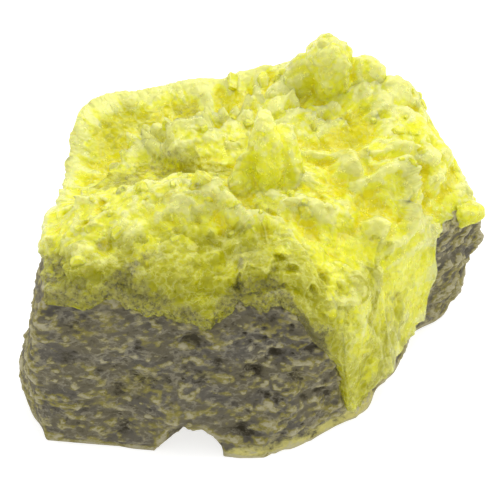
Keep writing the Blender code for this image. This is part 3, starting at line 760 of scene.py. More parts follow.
def sulfur_finish(sizes):
    """Waxy sulfur: crystal faces of yellow and lemon; painted highlight of whitish yellow on raised places,
    along edges and crests and in thin lines; painted glow of golden yellow in the hollows; painted shade of
    dark yellow-green in shaded places and down the front; greyed and speckled with rock where it is
    stained, the greying also painted shade in some shaded places."""
    nodes = Nodes("sulfur_yellow")
    labels = ("hollow", "edge", "stain", "depth")
    hollow, edge, stain, depth = (nodes.attribute(label) for label in labels)
    loose = nodes.warped(0.0028, 0.0017)
    cloud = nodes.noise(0.0044, detail=4.0, roughness=0.6)
    grain = nodes.noise(0.0011, detail=5.0, roughness=0.65)
    speck = nodes.noise(0.0005, detail=4.0, roughness=0.7)
    tilted, wide_cell = nodes.facets(0.0032, loose)
    chips, small_cell = nodes.facets(0.0013, nodes.warped(0.0014, 0.0006))
    wide_tint = nodes.add("ShaderNodeSeparateColor", Color=wide_cell).outputs[0]
    small_tint = nodes.add("ShaderNodeSeparateColor", Color=small_cell).outputs[0]
    # Painted highlight: lemon, then whitish yellow, where the edge attribute and noise run high.
    tone_and_highlight = nodes.blend(edge, (wide_tint, 0.5), (small_tint, 0.7), (cloud, 1.2), (grain, 0.8))
    colour = nodes.coat(sizes.yellow, sizes.lemon, tone_and_highlight, -0.6, 0.3)
    colour = nodes.coat(colour, sizes.highlight_pale, tone_and_highlight, 0.2, 1.1)
    # Painted glow and shade: golden yellow in the hollows.
    painted_hollow_glow = nodes.blend(hollow, (cloud, 1.4), (wide_tint, 0.6), (small_tint, 0.4), (grain, 0.3))
    colour = nodes.coat(colour, sizes.golden, painted_hollow_glow, 0.30, 0.80)
    # Painted shade: dark yellow-green down the front slope and in shaded places.
    deep = nodes.blend(depth, (cloud, 0.8), (wide_tint, 0.4), (small_tint, 0.3), (grain, 0.4))
    colour = nodes.coat(colour, sizes.painted_shade_olive, deep, 0.20, 0.90, 0.9)
    # Painted glints: whitish lines along the borders of flat cells and along winding threads.
    lines = nodes.ramp(nodes.creases(0.0032, loose), 0.012, 0.080, 0.30, 0.0)
    lines = nodes.math("MULTIPLY", lines, nodes.ramp(cloud, 0.42, 0.56))
    colour = nodes.mix(lines, colour, sizes.highlight_pale)
    threads = nodes.ramp(nodes.filaments(0.0019, at=loose), 0.88, 1.0, 0.0, 0.35)
    colour = nodes.mix(threads, colour, sizes.highlight_pale)
    # Greyed where stained, and greyed as painted shade in the trough, under the overhang, in the pocket and
    # at the lower corner; dark specks of rock.
    stain_and_shade = nodes.blend(stain, (cloud, 0.9), (grain, 1.1), (speck, 0.6))
    colour = nodes.coat(colour, sizes.dust, stain_and_shade, 0.30, 0.95, 0.85)
    dark = nodes.blend(stain, (speck, 2.2), (grain, 1.0))
    colour = nodes.coat(colour, sizes.dark, dark, 0.72, 1.02, 0.7)
    shader = nodes.shader
    shader.inputs["IOR"].default_value = 1.4
    shader.inputs["Specular IOR Level"].default_value = 0.20
    shader.inputs["Transmission Weight"].default_value = 0.35
    shader.inputs["Subsurface Weight"].default_value = 0.6
    shader.inputs["Subsurface Radius"].default_value = (1.0, 0.9, 0.10)
    shader.inputs["Subsurface Scale"].default_value = 0.0020
    normal = nodes.bump(chips, 0.8, 0.5, nodes.bump(tilted, 0.9, 0.7))
    return nodes.dressed(colour, nodes.ramp(grain, 0.3, 0.7, 0.12, 0.30), normal)


def rock_finish(sizes):
    """Fine-grained volcanic rock: violet-grey and slate patches, khaki crusts and winding threads that
    slant down to the right, dark pits and hollows, their colour partly pores and partly painted shade,
    lighter raised grains, painted light on the right face and a strip down the left corner, and yellow
    dust."""
    nodes = Nodes("matrix_grey")
    hollow, edge, dust = (nodes.attribute(label) for label in ("hollow", "edge", "stain"))
    slant = nodes.place(stretch=(0.7, 1.0, 1.35), turn=(0.0, math.radians(-12), 0.0))
    blotch = nodes.noise(0.0060, detail=4.0, roughness=0.6, at=slant)
    streak = nodes.noise(0.0021, detail=5.0, roughness=0.68, at=slant)
    grain = nodes.noise(0.0006, detail=4.0, roughness=0.7, at=slant)
    colour = nodes.coat(sizes.stone, sizes.slate, blotch, 0.42, 0.60)
    patch = nodes.noise(0.0045, detail=5.0, at=slant)
    # Khaki crusts in patches, more of them on raised grains and, as painted light, on the right face and
    # the left corner strip.
    khaki = nodes.blend(edge, (patch, 2.6), (streak, 1.4), (grain, 0.8))
    colour = nodes.coat(colour, sizes.crust, khaki, 0.10, 0.95, 0.85)
    threads = nodes.ramp(nodes.filaments(0.0017, 5.0, 0.62, slant), 0.84, 0.98, 0.0, 0.4)
    threads = nodes.math("MULTIPLY", threads, nodes.ramp(streak, 0.40, 0.60))
    colour = nodes.mix(threads, colour, sizes.pale_and_lit)
    dusty = nodes.blend(dust, (streak, 1.6), (grain, 0.9))
    colour = nodes.coat(colour, sizes.dust, dusty, 0.30, 0.95, 0.9)
    # Pore colour in the hollows: partly dark pores, partly painted shade.
    deep = nodes.blend(hollow, (streak, -2.0), (grain, -3.0))
    colour = nodes.coat(colour, sizes.pore, deep, 0.30, 1.10, 0.90)
    # Lighter on raised grains, and painted light on the right face and the left corner strip.
    pale_and_lit = nodes.blend(edge, (grain, 3.6), (streak, 1.8))
    colour = nodes.coat(colour, sizes.pale_and_lit, pale_and_lit, 0.65, 1.65, 0.75)
    colour = nodes.coat(colour, sizes.bed, nodes.attribute("bed"), 0.1, 0.9)
    nodes.shader.inputs["Specular IOR Level"].default_value = 0.3
    normal = nodes.bump(grain, 0.0005, 0.9, nodes.bump(streak, 0.0010, 0.7))
    return nodes.dressed(colour, nodes.ramp(grain, 0.3, 0.7, 0.78, 0.96), normal)


# ---------------------------------------------------------------- shapes


def bearing_of(points):
    """The bearing of each point from the heart, in degrees from -180 to 180."""
    return np.degrees(np.arctan2(points[..., 1] - HEART[1], points[..., 0] - HEART[0]))


def edge_line(bearing):
    """Height of the crust's lower edge, straight from point to point of CRUST_EDGE."""
    bearings, heights = np.array(CRUST_EDGE).T
    return np.interp(bearing, bearings, heights, period=360)


def edge_height(bearing):
    """Height of the crust's lower edge, with tongues a few millimetres wide where it is off the floor."""
    height = edge_line(bearing)
    tongues = layered(0.030 * bearing_lean(bearing, 0), EDGE_TONGUES)
    return height + tongues * smoothstep(0.0020, 0.0060, height)


def rock_relief(points):
    """Height of the rock's fine relief: beds and grains that slant down to the right, rugged blocks
    towards the right, and pits that are ragged bell curves."""
    turn = math.radians(9)
    x, y, z = np.moveaxis(points, -1, 0)
    rise = (z * math.cos(turn) + x * math.sin(turn)) * 1.7
    beds = np.stack((x * math.cos(turn) - z * math.sin(turn), y, rise), -1)
    rugged = smoothstep(-0.0080, 0.0040, x)
    relief = layered(beds, ROCK_BEDS) + (0.0004 + 0.0006 * rugged) * grains(beds, 0.0036, 23)
    patchy = (0.25 + 0.75 * rugged) * smoothstep(-0.45, 0.45, lumps(beds, 0.0075, SEED + 24))
    holes = packed_crystals(beds, 0.0016, SEED + 33)
    relief = relief - 0.0005 * patchy * smoothstep(0.62, 0.90, holes)
    ragged = 1 + 0.7 * lumps(beds, 0.0016, SEED + 26)
    for *middle, depth in ROCK_PITS:
        away = np.sum(((points - middle) * (0.7, 1.0, 1.3)) ** 2, -1) / ROCK_PIT_SIZE**2
        relief = relief - 0.5 * depth * ragged * np.exp(-away)
    return relief


def rock_grid(columns, side_rows):
    """Rays through a drum round the heart, row by row from the base's centre to the lid's centre."""
    bearing = np.linspace(-180, 180, columns, endpoint=False)
    drum_radius = wall_reach(bearing_lean(bearing, 0))
    below = [(share, 0.0) for share in np.linspace(0, 1, 12, endpoint=False)]
    side = [(1.0, share) for share in np.linspace(0, 1, side_rows, endpoint=False)]
    lid = [(share, 1.0) for share in np.linspace(1, 0, 13)]
    radius, height = np.array(below[1:] + side + lid[:-1]).T
    rise = height[:, None] * ROCK_DRUM - HEART[2]
    lean = np.degrees(np.arctan2(rise, radius[:, None] * drum_radius))
    return bearing_lean(bearing + 0 * lean, lean)


def drum_faces(rows, columns):
    """Triangles round a drum's rows, with a fan at each pole; the poles' points come last."""
    index = np.arange(rows * columns).reshape(rows, columns)
    after = np.roll(index, -1, axis=1)
    lower = np.stack((index[:-1], after[:-1], after[1:]), -1).reshape(-1, 3)
    upper = np.stack((index[:-1], after[1:], index[1:]), -1).reshape(-1, 3)
    base, top = np.full(columns, rows * columns), np.full(columns, rows * columns + 1)
    base_fan = np.stack((base, after[0], index[0]), -1)
    top_fan = np.stack((top, index[-1], after[-1]), -1)
    return np.concatenate((lower, upper, base_fan, top_fan))


def make_rock(settings, finish):
    """The rock: its flat faces and lumps met by rays, with fine relief laid on along the normals."""
    rays = rock_grid(settings.columns, settings.rows)
    base = HEART + rays * rock_reach(rays)[..., None]
    smooth = blurred(base, 3, wrap=True)
    normals = grid_normals(smooth, wrap=True)
    above_edge = base[..., 2] - edge_height(bearing_of(base))
    covered = smoothstep(0.0000, 0.0012, above_edge)
    relief = rock_relief(base) * settings.relief * (1 - covered) - ROCK_DRAWN_IN * covered
    off_floor = smoothstep(0.0000, 0.0012, base[..., 2])
    points = base + normals * (relief * off_floor)[..., None]
    points[..., 2] = np.maximum(points[..., 2], 0.0)
    fine = proudness(points, normals, 2, wrap=True)
    wide = proudness(points, normals, 7, wrap=True)
    poles = [HEART + pole * rock_reach(pole[None])[0] for pole in POLES]
    rows, columns = points.shape[:2]
    attributes = (
        # hollow: pore colour in the hollows, partly dark pores and partly painted shade; edge: lighter on
        # raised grains, and painted light on the right face and the left corner strip.
        ("hollow", np.append(np.clip(-wide / 0.0006, 0, 1), (0, 0))),
        ("edge", np.append(np.clip(fine / 0.00018 + rock_painted_light(points), 0, 1.5), (0, 0))),
        ("stain", np.append(rock_dust(points), (0, 0))),
        ("bed", np.append(covered, (0, 1))),
    )
    points = np.vstack((points.reshape(-1, 3), poles))
    rock = piece_from("rock", points, drum_faces(rows, columns), finish, attributes)
    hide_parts("matrix_rock")


def rock_painted_light(points):
    """Painted light: the rock made lighter on the bare face on the right and on a strip down the left
    corner.
    """
    x = points[..., 0]
    return 0.5 * smoothstep(0.0210, 0.0270, x) + 0.5 * smoothstep(-0.0305, -0.0330, x)


def rock_dust(points):
    """Where yellow dust lies on the rock: near the crust's edge, in a strip along the front's foot."""
    z, bearing = points[..., 2], bearing_of(points)
    near_edge = 1 - smoothstep(0.0000, 0.0045, edge_line(bearing) - z)
    foot = (1 - smoothstep(0.0008, 0.0030, z)) * smoothstep(-105, -90, bearing) * (bearing < -40)
    return np.clip(0.55 * near_edge + 0.8 * foot, 0, 1)


def round_grid(count):
    """A square grid pressed into a disk: bearing and share of the way out, from 0 at the centre to 1."""
    steps = np.linspace(-1, 1, count + 1)
    across, along = np.meshgrid(steps, steps, indexing="ij")
    share = np.maximum(np.abs(across), np.abs(along))
    turned = np.pi / 4 * np.where(
        np.abs(across) >= np.abs(along),
        np.divide(along, across, out=np.zeros_like(across), where=across != 0),
        2 - np.divide(across, along, out=np.zeros_like(across), where=along != 0),
    )
    turned = turned + np.pi * np.where(np.abs(across) >= np.abs(along), across < 0, along < 0)
    return np.degrees(turned), share


def crust_rays(bearing, share):
    """Rays through a drum's lid and down its side, evenly by length, as far as the crust's edge."""
    radius = wall_reach(bearing_lean(bearing, 0), on_crust=True)
    path = share * (radius + CRUST_DRUM - edge_height(bearing))
    out = np.minimum(path, radius)
    down = CRUST_DRUM - np.maximum(path - radius, 0)
    return bearing_lean(bearing, np.degrees(np.arctan2(down - HEART[2], np.maximum(out, 1e-9))))


def round_triangles(index):
    """Triangles over a round grid's points, each square cut by the diagonal that points at the centre."""
    low, right, high, left = index[:-1, :-1], index[1:, :-1], index[1:, 1:], index[:-1, 1:]
    steps = np.arange(len(index) - 1) - (len(index) - 2) / 2
    outward = (steps[:, None] * steps > 0)[..., None]
    first = np.where(outward, np.stack((low, right, high), -1), np.stack((low, right, left), -1))
    second = np.where(outward, np.stack((low, high, left), -1), np.stack((right, high, left), -1))
    return np.concatenate((first.reshape(-1, 3), second.reshape(-1, 3)))


def border_of(index):
    """A square grid's outer points in order round it."""
    return np.concatenate((index[:-1, 0], index[-1, :-1], index[:0:-1, -1], index[0, :0:-1]))


def placed(points, places):
    """Strength of named places, each a bell curve of its radius round its middle; the strongest counts.
    Over points of the plan the height of the middle is left out."""
    total = np.zeros(points.shape[:-1])
    for _, *middle, radius, strength in places:
        away = np.sum((points - middle[:points.shape[-1]]) ** 2, -1) / radius**2
        total = np.maximum(total, strength * np.exp(-away))
    return total


def from_segment(points, start, end):
    """A straight piece's direction, the share of the way along it to the place nearest each point, and
    the offset from there."""
    along = np.subtract(end, start)
    share = np.clip((points - start) @ along / (along @ along), 0, 1)
    return along, share, points - start - share[..., None] * along


def crest_height(plan, left, right, line):
    """Height of a crest over the plan: that of its nearest point, less a straight fall on either side."""
    nearest, height = (np.full(plan.shape[:-1], value) for value in (FAR, 0.0))
    for start, end in zip(line, line[1:]):
        along, share, away = from_segment(plan, start[:2], end[:2])
        turned = along[0] * away[..., 1] - along[1] * away[..., 0]
        distance = np.linalg.norm(away, axis=-1)
        fall = CREST_STEP * distance / np.where(turned > 0, left, right)
        closer = distance < nearest
        nearest = np.where(closer, distance, nearest)
        height = np.where(closer, start[2] + share * (end[2] - start[2]) - fall, height)
    return height


def crest_paleness(points):
    """How near each point is to a crest's line: 1 on it, falling off as a bell curve."""
    nearest = np.full(points.shape[:-1], FAR)
    for _, _, _, line in CRESTS:
        for start, end in zip(line, line[1:]):
            away = from_segment(points, start, end)[-1]
            nearest = np.minimum(nearest, np.linalg.norm(away, axis=-1))
    return np.exp(-((nearest / CREST_PALE_WIDTH) ** 2))


def skin_top(x, y):
    """Height of the crust's skin: the bent plate, lower in its hollows, with the crests standing on it."""
    plan = np.stack((x, y), -1)
    height = crust_top(x, y) - HOLLOW_DEPTH * placed(plan, GOLDEN_PLACES)
    return np.maximum.reduce([height] + [crest_height(plan, *crest[1:]) for crest in CRESTS])


def crust_relief(points, steep):
    """Height of the crust's relief. On top bowls of two sizes meet in sharp crests, with sugary grains in
    them. Down its sides the crests are drawn out into upright flutes, and the lower corner is smooth."""
    warped = points + 0.0009 * lumps_vector(points, 0.0036, 45)
    fine = grains(points, 0.0012, 70)
    sugary = smoothstep(-0.5, 0.4, lumps(points, 0.0080, SEED + 80))
    on_top = layered(points, CRUST_BROAD) + 0.0007 * bowls(warped, 0.0052, 50)
    on_top = on_top + 0.0005 * bowls(warped, 0.0026, 60) + (0.0002 + 0.0002 * sugary) * fine
    drawn = warped * (1.0, 1.0, 0.5)
    flutes = 0.0008 * bowls(drawn, 0.0030, 52) + 0.0004 * bowls(drawn, 0.0016, 62) + 0.0003 * fine
    flutes = flutes * (0.45 + 0.55 * smoothstep(0.0060, 0.0140, points[..., 2]))
    return on_top + steep * (flutes - on_top)


def crust_surface(count, strength):
    """The crust's outer skin: rays, points, normals, and each point's share of the way out to the edge. It
    is the farther of the crust and the rock, blurred, with relief laid on along the normals, and it thins
    out towards its edge as a slope that keeps between a least and a greatest height over the rock."""
    bearing, share = round_grid(count)
    rays = crust_rays(bearing, share)
    rock = rock_reach(rays)
    reach = blurred(np.maximum(crust_base(rays), rock + CRUST_LEAST), 1)
    base = HEART + rays * reach[..., None]
    normals = grid_normals(blurred(base, 4))
    steep = smoothstep(0.30, 0.75, 1 - normals[..., 2])
    facing = smoothstep(0.05, 0.5, (normals * rays).sum(-1))
    relief = crust_relief(base, steep) * strength * (1 - 0.3 * crest_paleness(base)) * facing
    points = base + normals * relief[..., None]
    distance = np.linalg.norm(points - HEART, axis=-1)
    rays = (points - HEART) / distance[..., None]
    bearing = bearing_of(points)
    slope = 0.45 + 0.8 * smoothstep(-64, -56, bearing) * smoothstep(0, -8, bearing)
    rough = 0.8 + 0.5 * lumps(points, 0.0024, SEED + 43)
    granular = 0.0009 * grains(points, 0.0012, 44)
    most = rock + 0.0002 + slope * ((1 - share) * EDGE_WAY) * rough + granular
    least = rock + 0.0001 + 0.0013 * smoothstep(0.0, 0.12, 1 - share)
    points = HEART + rays * np.maximum(np.minimum(distance, most), least)[..., None]
    points[..., 2] = np.maximum(points[..., 2], CRUST_OFF_FLOOR)
    return rays, points, normals, share


def make_crust(surface, finish):
    """The crust: its outer skin, a rim that dives into the rock, and an inner skin just under the rock."""
    rays, points, normals, _ = surface
    fine = proudness(points, normals, 2)
    wide = proudness(points, normals, 9)
    index = np.arange(points.shape[0] * points.shape[1]).reshape(points.shape[:2])
    outer = points.reshape(-1, 3)
    step = INNER_STEP
    inner_rays = rays[::step, ::step]
    inner = HEART + inner_rays * (rock_reach(inner_rays) - INNER_DEPTH)[..., None]
    inner_index = np.arange(inner.shape[0] * inner.shape[1]).reshape(inner.shape[:2]) + len(outer)
    faces = [round_triangles(index), round_triangles(inner_index)[:, ::-1]]
    rim, inner_rim = border_of(index), border_of(inner_index)
    for offset in range(step):
        first = rim[offset::step]
        second = np.roll(rim, -1)[offset::step]
        apex = inner_rim if offset < step // 2 else np.roll(inner_rim, -1)
        faces.append(np.stack((second, first, apex), -1))
    middle = rim[step // 2::step]
    faces.append(np.stack((inner_rim, np.roll(inner_rim, -1), middle), -1))
    zeros = np.zeros(inner_index.size)
    # Painted highlight on the named places and along the crests; below, hollow carries painted glow, edge
    # painted highlight, and depth painted shade.
    painted_highlight = 0.6 * placed(points, PAINTED_HIGHLIGHT_PLACES) + 0.7 * crest_paleness(points)
    values = (
        ("hollow", np.clip(-wide / 0.0004 + 0.8 * placed(points, GOLDEN_PLACES), 0, 1.3)),
        ("edge", np.clip(0.5 * fine / 0.0001 + 0.5 * wide / 0.0004 + painted_highlight, 0, 1.5)),
        ("stain", crust_stain_and_shade(points)),
        ("depth", crust_painted_shade(points)),
    )
    attributes = [(label, np.append(value, zeros)) for label, value in values]
    everything = np.vstack((outer, inner.reshape(-1, 3)))
    crust = piece_from("crust_skin", everything, np.concatenate(faces), finish, attributes)
    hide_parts("sulfur_crust")


def crust_stain_and_shade(points):
    """Where the crust is greyed: in places of its own, and towards its lower edge on the front; the greying
    is a stain there, and painted shade in the trough, under the overhang, in the pocket and at the lower
    corner.
    """
    bearing = bearing_of(points)
    above = points[..., 2] - edge_height(bearing)
    edge = (0.35 + 0.65 * stretch(STAINED_FRONT, bearing)) * (1 - smoothstep(0.0000, 0.0030, above))
    return np.clip(0.75 * edge + placed(points, STAIN_AND_SHADE_PLACES), 0, 1.2)


def crust_painted_shade(points):
    """Painted shade: where the sulfur is made darker, in places of its own, and down the slope to the
    front.
    """
    front, y, z = stretch(PAINTED_SHADE_FRONT, bearing_of(points)), points[..., 1], points[..., 2]
    slope = front * smoothstep(0.0315, 0.0245, z) * smoothstep(-0.0070, -0.0140, y)
    return np.clip(slope + placed(points, PAINTED_SHADE_PLACES), 0, 1)


def ball_rays(rows, columns):
    """Rays in all directions, row by row from the lower pole to the upper."""
    lean = np.linspace(-90, 90, rows + 2)[1:-1, None]
    bearing = np.linspace(-180, 180, columns, endpoint=False)
    return bearing_lean(bearing + 0 * lean, lean + 0 * bearing)


def group_reach(rays, centre, planes):
    """Distance from a group's middle along each ray to where it leaves the last of the group's crystals,
    with the edges between them rounded."""
    leaves = [crystal_reach(rays, normals, at, centre) for normals, at in planes]
    total = sum(np.exp(leave / GROUP_SOFTNESS) for leave in leaves)
    return np.maximum(GROUP_SOFTNESS * np.log(total), GROUP_LEAST)


def make_large_crystals(finish):
    """The groups of crystals that stand out of the crust. Rays from a group's middle meet the flat faces of
    its crystals, the farthest counts, and bowls and grains like the crust's cover them."""
    rays = ball_rays(GROUP_ROWS, GROUP_COLUMNS)
    rows_of = {row[0]: row for row in LARGE_CRYSTALS}
    everything, faces, hollows, edges = [], [], [], []
    for number, (centre, names) in enumerate(LOOSE_GROUPS):
        centre = np.array(centre)
        planes = [crystal_planes(rows_of[name], fuller=1.05, foot_size=1.05) for name in names]
        distance = blurred(group_reach(rays, centre, planes), 3, wrap=True)
        base = centre + rays * distance[..., None]
        outward = grid_normals(base, wrap=True)
        outward = outward * np.where(np.sum(outward * rays, -1, keepdims=True) < 0, -1, 1)
        relief = 0.0008 * bowls(base, 0.0034, 90) + 0.0005 * grains(base, 0.0014, 95)
        points = base + outward * relief[..., None]
        fine = proudness(points, outward, 2, wrap=True)
        wide = proudness(points, outward, 8, wrap=True)
        ends = centre + POLES * group_reach(POLES, centre, planes)[:, None]
        faces.append(drum_faces(GROUP_ROWS, GROUP_COLUMNS) + number * (rays[..., 0].size + 2))
        everything += [points.reshape(-1, 3), ends]
        # Painted glow in the hollows, and painted highlight on raised places and over the upper part of
        # each group.
        hollows.append(np.append(np.clip(-wide / 0.0007, 0, 1), (0, 0)))
        height = (points[..., 2] - centre[2]) / np.ptp(points[..., 2])
        painted_highlight = 0.6 * smoothstep(0.1, 0.6, height)
        edges.append(np.append(np.clip(0.7 * fine / 0.00012 + painted_highlight, 0, 1.2), (0, 0)))
    points = np.vstack(everything)
    points[:, 2] = np.maximum(points[:, 2], CRUST_OFF_FLOOR)
    attributes = (
        ("hollow", np.concatenate(hollows)),
        ("edge", np.concatenate(edges)),
        ("stain", np.zeros(len(points))),
        ("depth", np.zeros(len(points))),
    )
    piece_from("large_crystals", points, np.concatenate(faces), finish, attributes)


def crystal_batch(corners, feet, axes, lengths, widths, thicknesses, twists, shoulder, point, cut=0.10):
    """Points and faces of many crystals with the same number of corners, and which faces are chamfers. Each
    is five rings of paired corners: foot, under and over the shoulder, under and over the tip's edge."""
    across, along, up = frames_along(axes, twists)
    turns = np.radians(360 / corners * (np.arange(corners) + 0.5))
    outline = np.stack((np.cos(turns), np.sin(turns)), -1)
    before = outline + cut * (np.roll(outline, 1, axis=0) - outline)
    behind = outline + cut * (np.roll(outline, -1, axis=0) - outline)
    outline = np.stack((before, behind), 1).reshape(-1, 2)
    rings = []
    for height, wide in (
        (0.0, 0.78), (shoulder - 0.04, 0.985), (shoulder + 0.04, 0.96 + 0.03 * point),
        (0.96, point * 1.06), (1.0, point * 0.86),
    ):
        flat = outline[None, :, :1] * across[:, None] * (widths * wide)[:, None, None]
        spread = (flat + outline[None, :, 1:] * along[:, None] * (thicknesses * wide)[:, None, None]) / 2
        rings.append(feet[:, None] + up[:, None] * (lengths * height)[:, None, None] + spread)
    points = np.stack(rings, 1)
    count, levels, sides = points.shape[:3]
    index = np.arange(levels * sides).reshape(levels, sides)
    after = np.roll(index, -1, axis=1)
    quads = np.stack((index[:-1], after[:-1], after[1:], index[1:]), -1)
    chamfer = np.zeros((levels - 1, sides), bool)
    chamfer[:, ::2] = chamfer[1::2] = True
    halves = [quads[..., half].reshape(-1, 3) for half in ([0, 1, 2], [0, 2, 3])]
    fan = np.arange(1, sides - 1)
    foot_cap = np.stack((0 * fan, fan + 1, fan), -1)
    tip_cap = np.stack((0 * fan, fan, fan + 1), -1) + index[-1, 0]
    triangles = np.concatenate((*halves, foot_cap, tip_cap))
    marks = np.concatenate((chamfer.ravel(), chamfer.ravel(), np.zeros(2 * len(fan), bool)))
    faces = triangles[None] + (np.arange(count) * index.size)[:, None, None]
    return points.reshape(-1, 3), faces.reshape(-1, 3), np.tile(marks, count)


def make_small_crystals(surface, settings, finish):
    """Small crystals seated over the crust's skin, leaning together in patches, mostly sunk in it."""
    random = np.random.default_rng(SEED + 200)
    _, points, normals, share = surface
    proud = proudness(points, normals, 9).ravel()
    points, normals, share = points.reshape(-1, 3), normals.reshape(-1, 3), share.ravel()
    chance = (0.3 + smoothstep(-0.0004, 0.0008, proud)) * smoothstep(0.97, 0.86, share)
    chance *= 0.35 + smoothstep(-0.6, 0.3, lumps(points, 0.0080, SEED + 80))
    chance *= smoothstep(0.0262, 0.0282, points[:, 2])
    seats = random.choice(len(points), settings.count, replace=False, p=chance / chance.sum())
    points, normals = points[seats], normals[seats]
    lean = 0.5 * lumps_vector(points, 0.0060, 210)
    axes = unit(normals + lean + (0, 0, 0.25) + random.normal(0, 0.28, points.shape))
    count, range_of_lengths = len(seats), settings.largest / settings.smallest
    lengths = settings.smallest * range_of_lengths ** (random.random(count) ** 1.6)
    feet = points - axes * (lengths * random.uniform(0.84, 0.95, count))[:, None]
    corners = random.integers(4, 7, count)
    widths = lengths * random.uniform(0.55, 1.0, count)
    thicknesses = widths * random.uniform(0.5, 0.95, count)
    twists = random.uniform(0, 360, count)
    shoulder = random.uniform(0.60, 0.86, count)
    point = random.uniform(0.35, 0.75, count)
    tint = random.uniform(0.0, 0.5, count)
    crystals = (feet, axes, lengths, widths, thicknesses, twists, shoulder, point)
    everything, faces, edges, hollows, total = [], [], [], [], 0
    for number in (4, 5, 6):
        chosen = corners == number
        made, triangles, marks = crystal_batch(number, *(values[chosen] for values in crystals))
        everything.append(made)
        faces.append(triangles + total)
        total += len(made)
        # Painted highlight on the chamfers, little on the other faces.
        edges.append(np.where(marks, 0.75, 0.10))
        hollows.append(np.repeat(tint[chosen], len(triangles) // max(1, chosen.sum())))
    faces = np.concatenate(faces)
    points = np.vstack(everything)
    points[:, 2] = np.maximum(points[:, 2], CRUST_OFF_FLOOR)
    attributes = (
        ("hollow", np.concatenate(hollows)),
        ("edge", np.concatenate(edges)),
        ("stain", np.zeros(len(faces))),
        ("depth", np.zeros(len(faces))),
    )
    piece_from("small_crystals", points, faces, finish, attributes, "FACE", smooth=False)


# ---------------------------------------------------------------- settings, operators and panel


def colour_setting(name, description, *default):
    """A colour among the settings."""
    return FloatVectorProperty(
        name=name, description=description, default=default, subtype="COLOR", size=3
    )


def power_setting(name, description, default):
    """A light's strength in watts among the settings."""
    return FloatProperty(name=name, description=description, default=default, unit="POWER")


class RockSettings(bpy.types.PropertyGroup):
    """Sizes and colours of the matrix rock."""

    columns: IntProperty(name="Columns", description="Facets round the rock", default=800, min=64)
    rows: IntProperty(name="Rows", description="Rows of facets up the rock's side", default=90, min=9)
    relief: FloatProperty(name="Relief", description="Strength of the fine relief", default=1.0, min=0.0)
    stone: colour_setting("Stone", "Main grey", 0.165, 0.146, 0.090)
    slate: colour_setting("Slate", "Bluish streaks", 0.132, 0.120, 0.094)
    # Khaki crusts, also laid on as painted light on the right face and the left corner strip.
    crust: colour_setting("Khaki", "Khaki crusts", 0.300, 0.262, 0.050)
    dust: colour_setting("Dust", "Yellow dust", 0.700, 0.640, 0.200)
    bed: colour_setting("Bed", "Sulfur under the crust", 0.960, 0.940, 0.150)
    # Dark pores, also painted shade in the rock's hollows.
    pore: colour_setting("Pores", "Dark pores", 0.060, 0.050, 0.026)
    # Lighter threads and raised grains, and painted light on the right face and the left corner strip.
    pale_and_lit: colour_setting("Pale_and_lit edges", "Pale worn edges", 0.500, 0.460, 0.320)


class SulfurSettings(bpy.types.PropertyGroup):
    """Sizes and colours of the sulfur."""

    grid: IntProperty(name="Grid", description="Squares across the crust", default=296, min=24)
    relief: FloatProperty(name="Relief", description="Strength of the relief", default=1.0, min=0.0)
    count: IntProperty(name="Small crystals", description="How many small crystals", default=90, min=1)
    smallest: FloatProperty(
        name="Smallest", description="Length of the smallest crystal", default=0.0016, unit="LENGTH"
    )
    largest: FloatProperty(
        name="Largest", description="Length of the largest small crystal", default=0.0044, unit="LENGTH"
    )
    yellow: colour_setting("Yellow", "Main yellow", 0.930, 0.910, 0.020)
    lemon: colour_setting("Lemon", "Second yellow", 0.945, 0.950, 0.060)
    # Painted glow and shade in the hollows.
    golden: colour_setting("Golden", "Hollows", 0.900, 0.810, 0.006)
    # Painted highlight on edges, crests and tips.
    highlight_pale: colour_setting("Pale", "Edges and tips", 0.960, 0.970, 0.330)
    # Painted shade in shaded places and down the front slope.
    painted_shade_olive: colour_setting("Olive", "Deep places", 0.455, 0.440, 0.006)
    # Greyed stains, and greyed painted shade in some places.
    dust: colour_setting("Greyed", "Stained places", 0.360, 0.335, 0.110)
    dark: colour_setting("Specks", "Specks of rock", 0.140, 0.125, 0.050)


class StageSettings(bpy.types.PropertyGroup):
    """The floor, the lights and the camera."""

    floor: colour_setting("Floor", "Floor colour", 0.500, 0.500, 0.500)
    glow: FloatProperty(name="Glow", description="Light given off by the floor", default=0.70, min=0.0)
    overhead: power_setting("Overhead", "Strength of the light above", 5.9)
    fill: power_setting("Fill", "Strength of the front light", 0.05)
    left: power_setting("Left", "Strength of the left light", 0.6)
    right: power_setting("Right", "Strength of the right light", 0.6)
    sky: FloatProperty(name="Sky", description="Strength of the light all round", default=0.75)


class SPECIMEN_OT_rock(bpy.types.Operator):
    """Builds the matrix rock"""

    bl_idname = "specimen.rock"
    bl_label = "Matrix Rock"

    def execute(self, context):
        settings = context.scene.specimen_rock
        make_rock(settings, rock_finish(settings))
        return {"FINISHED"}


class SPECIMEN_OT_sulfur(bpy.types.Operator):
    """Builds the sulfur crust and its crystals"""

    bl_idname = "specimen.sulfur"
    bl_label = "Sulfur Crystals"

    def execute(self, context):
        settings = context.scene.specimen_sulfur
        finish = sulfur_finish(settings)
        surface = crust_surface(settings.grid, settings.relief)
        make_crust(surface, finish)
        make_large_crystals(finish)
        make_small_crystals(surface, settings, finish)
        return {"FINISHED"}


def area_light(name, place, size, power):
    """A square soft light that looks at the specimen."""
    lamp = bpy.data.lights.new(name, "AREA")
    lamp.energy, lamp.size = power, size
    light = linked(name, lamp)
    light.location = place
    light.rotation_euler = (Vector(LIGHTS_TARGET) - light.location).to_track_quat("-Z", "Y").to_euler()


